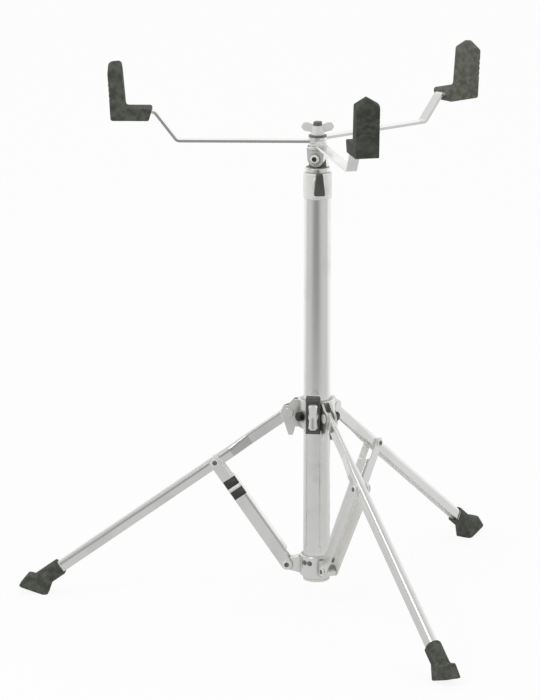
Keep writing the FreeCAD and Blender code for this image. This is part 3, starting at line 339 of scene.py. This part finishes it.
def make_black_plastic(name, deep, pale):
    """Moulded or printed black with a fine grain."""
    finish = Finish(name, colour=deep, roughness=0.42)
    grain = finish.group(GRAIN, Grain_Scale=2600.0, Tone_Scale=90.0)
    edge = finish.group(SOFT_EDGE, Radius=0.0006)
    dust = finish.group(DUST, Scale=260.0)
    finish.tint(grain.outputs["Tone"], colour=pale, share=0.5)
    finish.tint(edge.outputs["Edge"], colour=(0.15, 0.15, 0.14), share=0.4)
    finish.tint(dust.outputs["Mask"], colour=(0.24, 0.235, 0.21), share=0.3)
    finish.roughen(grain.outputs["Tone"], amount=0.1)
    finish.bump(grain.outputs["Height"], distance=0.00004, normal=edge.outputs["Normal"])
    return finish.material


def make_nylon(name, colour, shade):
    """Pale plastic with a slow change of tone."""
    finish = Finish(name, colour, roughness=0.45, Subsurface_Weight=0.1)
    grain = finish.group(GRAIN, Grain_Scale=1600.0, Tone_Scale=80.0)
    finish.tint(grain.outputs["Tone"], colour=shade, share=0.5)
    finish.bump(grain.outputs["Height"], distance=0.00003)
    return finish.material


def make_rubber(name, deep, pale):
    """Old black rubber: greenish grey, mottled and grainy, with dust on top."""
    finish = Finish(name, colour=deep, roughness=0.68, Specular_IOR_Level=0.35)
    grain = finish.group(GRAIN, Grain_Scale=2100.0, Tone_Scale=190.0)
    dust = finish.group(DUST, Scale=170.0)
    finish.tint(grain.outputs["Tone"], colour=pale, share=0.85)
    finish.tint(dust.outputs["Mask"], colour=(0.20, 0.20, 0.175), share=0.35)
    finish.roughen(grain.outputs["Tone"], amount=0.12)
    finish.bump(grain.outputs["Height"], distance=0.00006)
    return finish.material


FINISHES = {
    # The plate's pale recess tone is painted light in its channels. The casting's dark one is painted shade in its
    # hollows.
    "chrome": make_chrome("chrome_plate", (0.92, 0.915, 0.89)),
    "chrome_casting_painted_shade": make_chrome("chrome_casting_painted_shade", (0.21, 0.21, 0.18)),
    "satin_metal": make_satin(),
    "dark_steel": make_dark_steel(),
    "worn_steel": make_worn_steel(),
    "black_plastic": make_black_plastic("moulded_black", (0.055, 0.056, 0.050), (0.085, 0.086, 0.078)),
    "label_black": make_black_plastic("label_black", (0.022, 0.024, 0.022), (0.040, 0.042, 0.038)),
    "nylon": make_nylon("natural_nylon", (0.72, 0.71, 0.66), (0.62, 0.60, 0.54)),
    "label_pale": make_nylon("label_pale", (0.88, 0.88, 0.86), (0.78, 0.78, 0.75)),
    "rubber": make_rubber("aged_rubber", (0.046, 0.051, 0.041), (0.098, 0.102, 0.086)),
    "rubber_dark": make_rubber("aged_rubber_dark", (0.034, 0.040, 0.031), (0.070, 0.074, 0.061)),
    "rubber_pale": make_rubber("aged_rubber_pale", (0.080, 0.082, 0.066), (0.150, 0.150, 0.121)),
}
OWN_FINISHES = {
    "leg_collar": "chrome_casting_painted_shade", "lower_collar": "chrome_casting_painted_shade",
    "tilter_base": "chrome_casting_painted_shade", "tilter_head": "chrome_casting_painted_shade", "tilter_bolt": "satin_metal",
    "upper_pivots": "chrome", "lower_pivots": "satin_metal", "lower_collar_rivets": "worn_steel",
    "strut_rivets_left": "satin_metal", "strut_rivets_right": "satin_metal",
    "strut_rivets_front": "satin_metal", "tube_end_cap": "nylon", "collar_sleeve": "nylon",
    "basket_bolt": "worn_steel", "basket_washer": "worn_steel", "basket_wing_nut": "satin_metal",
}
# One rubber in three tones: paler on the right cover, darker on the front one.
COVER_FINISHES = {"left": "rubber", "right": "rubber_pale", "front": "rubber_dark"}


def dress_nodes():
    """Every CAD node gets the finish of its material slot, or one of its own."""
    for part in frame["record"]["subparts"]:
        name = part["node"]
        for held in nodes[name].material_slots:
            held.material = FINISHES[OWN_FINISHES.get(name, part["material_slot"])]


# Rubber boots

BOOT_SEGMENTS = 120
BOOT_ROWS = 76
BOOT_SOFTENING = 4
BOOT_RIBS = 14
BOOT_RIB_HEIGHT = 0.00035
BOOT_LIP = 0.0035
BOOT_WALL = 0.0024
BOOT_ROUND_POWER = 2.0
BOOT_FLAT_POWER = 5.0
BOOT_SOLE_AT = 0.0394
BOOT_SKIRT_HEIGHT = 0.0140
BOOT_SOLE_TILT = math.radians(17.5)
# Heel, toe and half width of the skirt, at the sole and at its top
BOOT_TREAD = (0.0197, 0.0098, 0.0093)
BOOT_SHELF = (0.0200, 0.0046, 0.0079)
BOOT_CORNER_POWER = 6.0
BOOT_WALL_SHARES = (1.0, 0.8, 0.6, 0.4, 0.2, 0.0)
BOOT_FARTHEST = 0.06
BOOT_TOLERANCE = 1e-7


class LegFrame:
    """Directions of one leg: down along it, across it, and out from its back."""

    def __init__(self, side):
        fold = joints[side + "_leg_fold"]
        self.pivot = Vector(fold["pos_m"])
        low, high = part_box("strut_rivets_" + side)
        self.down = ((low + high) / 2 - self.pivot).normalized()
        self.across = Vector(fold["axis"]).normalized()
        self.out = self.across.cross(self.down)
        if self.out.z < 0:
            self.out.negate()
        self.angle = math.acos(-self.down.z)

    def at(self, out, across, along):
        """Point at distances from the leg's pivot."""
        return self.pivot + self.out * out + self.across * across + self.down * along


def boot_rim(turn, height, sole_angle):
    """Where a lengthwise line leaves the slice of the skirt at a height above the sole."""
    share = height / BOOT_SKIRT_HEIGHT
    heel, toe, half = [low + (high - low) * share for low, high in zip(BOOT_TREAD, BOOT_SHELF)]
    slope = math.tan(sole_angle)
    lean = math.cos(turn) / math.cos(sole_angle)
    near, far = 0.0, BOOT_FARTHEST
    while far - near > BOOT_TOLERANCE:
        reach = (near + far) / 2
        forward = (lean * reach - height * slope - (toe - heel) / 2) / ((toe + heel) / 2)
        aside = reach * math.sin(turn) / half
        if abs(forward) ** BOOT_CORNER_POWER + abs(aside) ** BOOT_CORNER_POWER < 1:
            near = reach
        else:
            far = reach
    return BOOT_SOLE_AT - height / math.cos(sole_angle) + near * math.cos(turn) * slope, near


def even_line(path, count):
    """Evenly spaced points along a line, its corners softened."""
    lengths = [0.0]
    for start, end in zip(path, path[1:]):
        lengths.append(lengths[-1] + math.dist(start, end))
    points = []
    index = 0
    for step in range(count):
        target = lengths[-1] * step / (count - 1)
        while index < len(path) - 2 and lengths[index + 1] < target:
            index += 1
        share = (target - lengths[index]) / (lengths[index + 1] - lengths[index])
        points.append(Vector(path[index]).lerp(Vector(path[index + 1]), share))
    for _ in range(BOOT_SOFTENING):
        runs = zip(points, points[1:], points[2:])
        middle = [(before + here * 2 + after) / 4 for before, here, after in runs]
        points = [points[0], *middle, points[-1]]
    return points


def boot_line(turn, half, side, sole_angle):
    """One lengthwise line of the boot: pairs of distance along the leg and distance from it."""
    cos_turn, sin_turn = math.cos(turn), math.sin(turn)
    power = BOOT_ROUND_POWER if cos_turn > 0 else BOOT_FLAT_POWER
    sleeve = (abs(cos_turn / half) ** power + abs(sin_turn / side) ** power) ** (-1 / power)
    skirt = [boot_rim(turn, BOOT_SKIRT_HEIGHT * share, sole_angle) for share in BOOT_WALL_SHARES]
    if skirt[0][1] > sleeve:
        top = BOOT_SOLE_AT - BOOT_SKIRT_HEIGHT / math.cos(sole_angle)
        skirt.insert(0, (top + sleeve * cos_turn * math.tan(sole_angle), sleeve))
    else:
        while skirt[1][1] < sleeve:
            skirt.pop(0)
        share = (sleeve - skirt[0][1]) / (skirt[1][1] - skirt[0][1])
        skirt[0] = (skirt[0][0] + (skirt[1][0] - skirt[0][0]) * share, sleeve)
    inside = sleeve - BOOT_WALL
    path = [(BOOT_LIP, inside), (0.0, inside), (0.0, sleeve), *skirt, (BOOT_SOLE_AT, BOOT_RIB_HEIGHT)]
    rib = BOOT_RIB_HEIGHT * math.cos(turn * BOOT_RIBS) ** 2
    line = []
    for along, away in even_line(path, BOOT_ROWS):
        ribbed = abs(away - sleeve) < BOOT_RIB_HEIGHT and along > BOOT_LIP / 2
        line.append((along, away - rib if ribbed else away))
    return line


def make_boot(side):
    """Boot of one leg: rolled mouth, ribbed sleeve and flared sole, none of it under the floor."""
    leg = LegFrame(side)
    skin = node_points("foot_" + side)
    mouth, _ = span(skin, leg.pivot, leg.down)
    shaft = [p for p in node_points("leg_" + side) if (p - leg.pivot).dot(leg.down) > mouth]
    half = span(shaft, leg.pivot, leg.out)[1] + BOOT_WALL
    reach = span(shaft, leg.pivot, leg.across)[1] + BOOT_WALL
    points = []
    for step in range(BOOT_SEGMENTS):
        turn = TURN * step / BOOT_SEGMENTS
        for along, away in boot_line(turn, half, reach, leg.angle - BOOT_SOLE_TILT):
            spot = leg.at(away * math.cos(turn), away * math.sin(turn), mouth + along)
            spot.z = max(spot.z, 0.0)
            points.append(spot)
    faces = strip_faces(BOOT_SEGMENTS, BOOT_ROWS, closed=False)
    last = (BOOT_SEGMENTS - 1) * BOOT_ROWS
    faces += [(last + row, row, row + 1, last + row + 1) for row in range(BOOT_ROWS - 1)]
    faces.append([step * BOOT_ROWS + BOOT_ROWS - 1 for step in range(BOOT_SEGMENTS)])
    piece("boot_" + side, points, faces, side + "_leg", FINISHES["rubber"], ["foot_" + side])


# Rubber covers on the basket arms

COVER_EDGE = 0.0016
COVER_EDGE_SEGMENTS = 3
COVER_EDGE_ANGLE = math.radians(50.0)
COVER_STATIONS = (-1.0, -0.7, -0.35, 0.0, 0.35, 0.7, 1.0)
COVER_HALF_WIDTH = 0.0106
COVER_PEAK_DROP = 0.0063
COVER_SHOULDER_DROP = 0.0016
COVER_SINK = 0.0021
COVER_SEAT_RISE = 0.0118
COVER_SLANT = 0.0035
COVER_HEEL_INSET = 0.0028
COVER_TOP_THICK = 0.0131
COVER_FOOT_THICK = 0.0164
COVER_TOE_RADIUS = 0.0018
COVER_HEEL_RADIUS = 0.0024
COVER_SHOULDER_RADIUS = 0.0050
COVER_TOP_RADIUS = 0.0036
COVER_FOOT_RADIUS = 0.0030
COVER_SEAT_RADIUS = 0.0026
COVER_GROOVES = 4
COVER_GROOVE_FIRST = 0.0100
COVER_GROOVE_PITCH = 0.0056
COVER_GROOVE_RADIUS = 0.0001
# Rise and depth at the corners of one groove
COVER_GROOVE_STEPS = ((-0.0002, 0.0), (0.0005, 0.0005), (0.0015, 0.0005), (0.0022, 0.0))
CORNER_STEPS = 6
SMALL_CORNER = 0.001


class ArmFrame:
    """Directions of one arm: out along it and across it."""

    def __init__(self, side):
        corners = node_points("pad_" + side)
        middle = sum(corners, Vector()) / len(corners)
        self.out = Vector((middle.x, middle.y, 0.0)).normalized()
        self.across = UP.cross(self.out)

    def at(self, out, across, height):
        """Point at distances from the column's axis and above the floor."""
        return self.out * out + self.across * across + UP * height


def rounded_corners(corners):
    """Polygon with arcs at its corners; a corner is (x, z, radius)."""
    outline = []
    count = len(corners)
    for index, (x, z, radius) in enumerate(corners):
        steps = CORNER_STEPS if radius > SMALL_CORNER else 1
        here = Vector((x, z))
        before = (Vector(corners[index - 1][:2]) - here).normalized()
        after = (Vector(corners[(index + 1) % count][:2]) - here).normalized()
        inside = before.angle(after) / 2
        reach = radius / math.tan(inside)
        centre = here + (before + after).normalized() * (radius / math.sin(inside))
        start = here + before * reach - centre
        end = here + after * reach - centre
        swing = start.angle_signed(end)
        for step in range(steps + 1):
            angle = -swing * (step / steps)
            turned = Vector((start.x * math.cos(angle) - start.y * math.sin(angle),
                             start.x * math.sin(angle) + start.y * math.cos(angle)))
            outline.append(centre + turned)
    return outline


def cover_outline(inner, outer, low, high):
    """Side view of a cover: level seat, then an upright with a grooved outer face."""
    seat = low + COVER_SEAT_RISE
    foot, top = outer - COVER_FOOT_THICK, outer - COVER_TOP_THICK
    shoulder = high - COVER_SHOULDER_DROP
    corners = [(inner + COVER_SLANT, low, COVER_TOE_RADIUS),
               (outer - COVER_HEEL_INSET, low, COVER_HEEL_RADIUS)]
    for groove in range(COVER_GROOVES):
        for rise, depth in COVER_GROOVE_STEPS:
            height = seat + COVER_GROOVE_FIRST + COVER_GROOVE_PITCH * groove + rise
            wall = outer - COVER_HEEL_INSET * (shoulder - height) / (shoulder - low)
            corners.append((wall - depth, height, COVER_GROOVE_RADIUS))
    corners += [(outer, shoulder, COVER_SHOULDER_RADIUS), (top, high, COVER_TOP_RADIUS),
                (foot, seat, COVER_FOOT_RADIUS), (inner, seat, COVER_SEAT_RADIUS)]
    return rounded_corners(corners)


def make_cover(side):
    """L-shaped cover of one arm, with a roof-shaped top."""
    arm = ArmFrame(side)
    skin = node_points("pad_" + side)
    inner, outer = span(skin, Vector(), arm.out)
    low, high = span(skin, Vector(), UP)
    low -= COVER_SINK
    seat = low + COVER_SEAT_RISE
    outline = cover_outline(inner, outer, low, high)
    points = []
    for station in COVER_STATIONS:
        for spot in outline:
            drop = COVER_PEAK_DROP * abs(station) * max(0.0, (spot.y - seat) / (high - seat))
            points.append(arm.at(spot.x, station * COVER_HALF_WIDTH, spot.y - drop))
    count = len(outline)
    rows = len(COVER_STATIONS)
    faces = strip_faces(rows, count)
    faces.append(list(range(count)))
    faces.append([(rows - 1) * count + step for step in range(count)])
    material = FINISHES[COVER_FINISHES[side]]
    cover = piece("cover_" + side, points, faces, side + "_arm", material, ["pad_" + side])
    rounding = cover.modifiers.new("rounded_edge", "BEVEL")
    rounding.width = COVER_EDGE
    rounding.segments = COVER_EDGE_SEGMENTS
    rounding.limit_method = "ANGLE"
    rounding.angle_limit = COVER_EDGE_ANGLE


# Plain bands on the left strut

BAND_ROUND = 0.0026
BAND_LIFT = 0.0001
BAND_MARGIN = 0.0004
BAND_STEPS = 6
# Start and end along the strut from its rivets, and the finish
BAND_ROWS = (
    (0.0205, 0.0290, "label_black"),
    (0.0290, 0.0325, "label_pale"),
    (0.0325, 0.0410, "label_black"),
)


def make_bands(side):
    """Thin bands round the strut's near side: two dark ones with a pale one between."""
    fold = joints[side + "_strut_fold"]
    low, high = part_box("strut_rivets_" + side)
    top = (low + high) / 2
    down = (Vector(fold["pos_m"]) - top).normalized()
    across = Vector(fold["axis"]).normalized()
    if across.y > 0:
        across.negate()
    web = across.cross(down)
    skin = node_points("strut_" + side)
    lip, back = span(skin, top, web)
    if abs(lip) > abs(back):
        web.negate()
        lip, back = span(skin, top, web)
    face = span(skin, top, across)[1] + BAND_LIFT
    bend = BAND_ROUND + BAND_LIFT
    section = [(lip + BAND_MARGIN, face), (back - BAND_ROUND, face)]
    for step in range(1, BAND_STEPS + 1):
        angle = TURN / 4 * step / BAND_STEPS
        section.append((back - BAND_ROUND + bend * math.sin(angle), face - bend + bend * math.cos(angle)))
    for number, (start, end, tone) in enumerate(BAND_ROWS, start=1):
        points = [top + web * x + across * y + down * along for along in (start, end) for x, y in section]
        faces = strip_faces(2, len(section), closed=False)
        name = "%s_strut_band_%d" % (side, number)
        band = piece(name, points, faces, side + "_strut", FINISHES[tone])
        thick = band.modifiers.new("film", "SOLIDIFY")
        thick.thickness = BAND_LIFT
        thick.offset = 0.0


# Rivet ends

EYE_SEARCH = 0.0070
EYE_SEGMENTS = 28
# Distance from the rivet's axis, and height over its head
EYE_PROFILE = ((0.0011, 0.0001), (0.0014, 0.0005), (0.0019, 0.0006), (0.0023, 0.0003), (0.0024, -0.0012))


def make_eyes(label, node, centre, axis, tone):
    """Rolled ends, with a hollow middle, on both heads of a rivet."""
    body = next(name for name, held in frame["record"]["behaviour"]["bodies"].items() if node in held)
    near = [p for p in node_points(node) if (p - centre).cross(axis).length < EYE_SEARCH]
    aside = axis.orthogonal().normalized()
    other = axis.cross(aside)
    for number, reach in enumerate(span(near, centre, axis), start=1):
        outward = math.copysign(1.0, reach)
        points = []
        for away, rise in EYE_PROFILE:
            middle = centre + axis * (reach + rise * outward)
            for step in range(EYE_SEGMENTS):
                turn = TURN * step / EYE_SEGMENTS
                points.append(middle + (aside * math.cos(turn) + other * math.sin(turn)) * away)
        faces = strip_faces(len(EYE_PROFILE), EYE_SEGMENTS)
        faces.append(list(range(EYE_SEGMENTS)))
        faces.append(list(range(len(points) - EYE_SEGMENTS, len(points))))
        piece("%s_eye_%d" % (label, number), points, faces, body, FINISHES[tone])


def make_strut_eyes(side):
    """Ends on the rivets of one strut, at its leg and at the lower collar."""
    fold = joints[side + "_strut_fold"]
    axis = Vector(fold["axis"])
    low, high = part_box("strut_rivets_" + side)
    make_eyes(side + "_rivet", "strut_rivets_" + side, (low + high) / 2, axis, "worn_steel")
    make_eyes(side + "_pivot", "lower_pivots", Vector(fold["pos_m"]), axis, "worn_steel")


def make_tilter_eyes():
    """Ends on the tilter's cross bolt."""
    tilt = joints["basket_tilt"]
    make_eyes("tilter", "tilter_bolt", Vector(tilt["pos_m"]), Vector(tilt["axis"]), "dark_steel")


# Thread of the basket bolt

THREAD_HUB = 0.0060
THREAD_PITCH = 0.0010
THREAD_SEGMENTS = 48
# Distance from the bolt's side, and rise in pitches
THREAD_PROFILE = ((-0.0001, 0.0), (0.00035, 0.45), (-0.0001, 0.9))


def make_thread():
    """Ridge of the basket bolt's thread above the wing nut."""
    low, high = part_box("basket_bolt")
    hub = [p.z for p in node_points("basket_wing_nut") if p.xy.length < THREAD_HUB]
    start = max(hub)
    radius = (high.x - low.x) / 2
    turns = (high.z - THREAD_PITCH - start) / THREAD_PITCH
    rows = int(turns * THREAD_SEGMENTS)
    points = []
    for row in range(rows):
        angle = TURN * row / THREAD_SEGMENTS
        height = start + THREAD_PITCH * row / THREAD_SEGMENTS
        for away, rise in THREAD_PROFILE:
            reach = radius + away
            points.append((reach * math.cos(angle), reach * math.sin(angle), height + rise * THREAD_PITCH))
    faces = strip_faces(rows, len(THREAD_PROFILE))
    faces += [(0, 1, 2), (len(points) - 1, len(points) - 2, len(points) - 3)]
    piece("basket_bolt_thread", points, faces, "basket", FINISHES["worn_steel"])


# Floor, light and camera

WHITE = (1.0, 1.0, 1.0, 1.0)
FLOOR_NEAR = -6.0
FLOOR_FAR = 16.0
FLOOR_HALF = 10.0
FLOOR_COLOUR = (0.86, 0.86, 0.855, 1.0)
FLOOR_ROUGHNESS = 0.8
FLOOR_WHITE_SHARE = 0.9
# What the metal mirrors of the floor: paler behind the stand, with a dark patch in front
MIRROR_LEVEL = 0.62
MIRROR_GAIN_BEHIND = 0.34
MIRROR_BEHIND_RANGE = (-0.1, 0.9)
PATCH_DEPTH = 0.34
PATCH_AHEAD_RANGE = (-0.35, -1.45)
PATCH_SHIFT = 0.15
PATCH_BESIDE_RANGE = (1.5, 0.4)
# What the metal mirrors of the room: its middle level, and how much it changes from front to back
ROOM_MIRROR_LEVEL = 0.64
ROOM_MIRROR_GAIN = 0.36
ROOM_LIGHT = 0.9
KEY_PLACE = (-1.2, -1.4, 2.2)
KEY_AIM = (0.0, 0.0, 0.25)
KEY_SIZE = 1.4
KEY_POWER = 12.0
CAMERA_PLACE = (0.302, -3.715, 1.169)
CAMERA_PITCH = math.radians(90.0 - 13.9)
CAMERA_YAW = math.radians(5.33)
CAMERA_LENS = 209.2
CAMERA_SENSOR = 36.0
CAMERA_FARTHEST = 60.0


def make_floor_material():
    """Pale floor: nearly white to the camera, and a set tone where the metal mirrors it."""
    material = bpy.data.materials.new("studio_floor")
    material.use_nodes = True
    tree = material.node_tree
    shader = tree.nodes["Principled BSDF"]
    shader.inputs["Base Color"].default_value = FLOOR_COLOUR
    shader.inputs["Roughness"].default_value = FLOOR_ROUGHNESS
    path = add_node(tree, "ShaderNodeLightPath")
    spot = add_node(tree, "ShaderNodeNewGeometry").outputs["Position"]
    spread = add_node(tree, "ShaderNodeSeparateXYZ", {"Vector": spot})
    ahead = ramp(tree, spread.outputs["Y"], *PATCH_AHEAD_RANGE)
    beside = calculate(tree, "ABSOLUTE", calculate(tree, "ADD", spread.outputs["X"], PATCH_SHIFT))
    patch = calculate(tree, "MULTIPLY", ahead, ramp(tree, beside, *PATCH_BESIDE_RANGE))
    behind = ramp(tree, spread.outputs["Y"], *MIRROR_BEHIND_RANGE)
    level = calculate(tree, "MULTIPLY_ADD", behind, MIRROR_GAIN_BEHIND, MIRROR_LEVEL)
    tone = calculate(tree, "MULTIPLY_ADD", patch, -PATCH_DEPTH, level)
    mirrored = add_node(tree, "ShaderNodeEmission", {"Strength": tone})
    lit = add_node(tree, "ShaderNodeMixShader", {
        0: path.outputs["Is Glossy Ray"], 1: shader.outputs["BSDF"], 2: mirrored.outputs["Emission"]})
    seen = calculate(tree, "MULTIPLY", path.outputs["Is Camera Ray"], FLOOR_WHITE_SHARE)
    white = add_node(tree, "ShaderNodeEmission", {"Color": WHITE, "Strength": 1.0})
    mix = add_node(tree, "ShaderNodeMixShader", {
        0: seen, 1: lit.outputs["Shader"], 2: white.outputs["Emission"]})
    tree.links.new(mix.outputs["Shader"], tree.nodes["Material Output"].inputs["Surface"])
    return material


def make_floor():
    """One wide sheet under the stand."""
    corners = [(-FLOOR_HALF, FLOOR_NEAR, 0.0), (FLOOR_HALF, FLOOR_NEAR, 0.0),
               (FLOOR_HALF, FLOOR_FAR, 0.0), (-FLOOR_HALF, FLOOR_FAR, 0.0)]
    mesh = bpy.data.meshes.new("floor")
    mesh.from_pydata(corners, [], [(0, 1, 2, 3)])
    floor = bpy.data.objects.new("floor", mesh)
    bpy.context.scene.collection.objects.link(floor)
    mesh.materials.append(make_floor_material())


def make_world():
    """White for the camera, a plain soft level for light, darker in front for reflections."""
    world = bpy.data.worlds.new("studio")
    bpy.context.scene.world = world
    world.use_nodes = True
    tree = world.node_tree
    path = add_node(tree, "ShaderNodeLightPath")
    way = add_node(tree, "ShaderNodeTexCoord").outputs["Generated"]
    parted = add_node(tree, "ShaderNodeSeparateXYZ", {"Vector": way})
    shade = calculate(tree, "MULTIPLY_ADD", parted.outputs["Y"], ROOM_MIRROR_GAIN, ROOM_MIRROR_LEVEL)
    reflected = add_node(tree, "ShaderNodeMix", {
        "Factor": path.outputs["Is Glossy Ray"], "A": ROOM_LIGHT, "B": shade}, data_type="FLOAT")
    seen = {"Factor": path.outputs["Is Camera Ray"], "A": reflected.outputs["Result"], "B": 1.0}
    level = add_node(tree, "ShaderNodeMix", seen, data_type="FLOAT")
    background = tree.nodes["Background"]
    background.inputs["Color"].default_value = WHITE
    tree.links.new(level.outputs["Result"], background.inputs["Strength"])


def make_key_lamp():
    """Large soft lamp, high on the left in front of the stand."""
    data = bpy.data.lights.new("key_softbox", "AREA")
    data.size = KEY_SIZE
    data.energy = KEY_POWER
    lamp = bpy.data.objects.new("key_softbox", data)
    lamp.location = KEY_PLACE
    lamp.rotation_euler = (Vector(KEY_AIM) - Vector(KEY_PLACE)).to_track_quat("-Z", "Y").to_euler()
    bpy.context.scene.collection.objects.link(lamp)


def make_camera():
    """The photograph's view."""
    data = bpy.data.cameras.new("photo_view")
    data.sensor_width = CAMERA_SENSOR
    data.lens = CAMERA_LENS
    data.clip_end = CAMERA_FARTHEST
    camera = bpy.data.objects.new("photo_view", data)
    camera.location = CAMERA_PLACE
    camera.rotation_euler = (CAMERA_PITCH, 0.0, CAMERA_YAW)
    bpy.context.scene.collection.objects.link(camera)
    bpy.context.scene.camera = camera


dress_nodes()
for side in SIDES:
    make_boot(side)
    make_cover(side)
    make_strut_eyes(side)
make_tilter_eyes()
make_bands("left")
make_thread()
make_floor()
make_world()
make_key_lamp()
make_camera()
bpy.context.scene.view_settings.view_transform = "Standard"
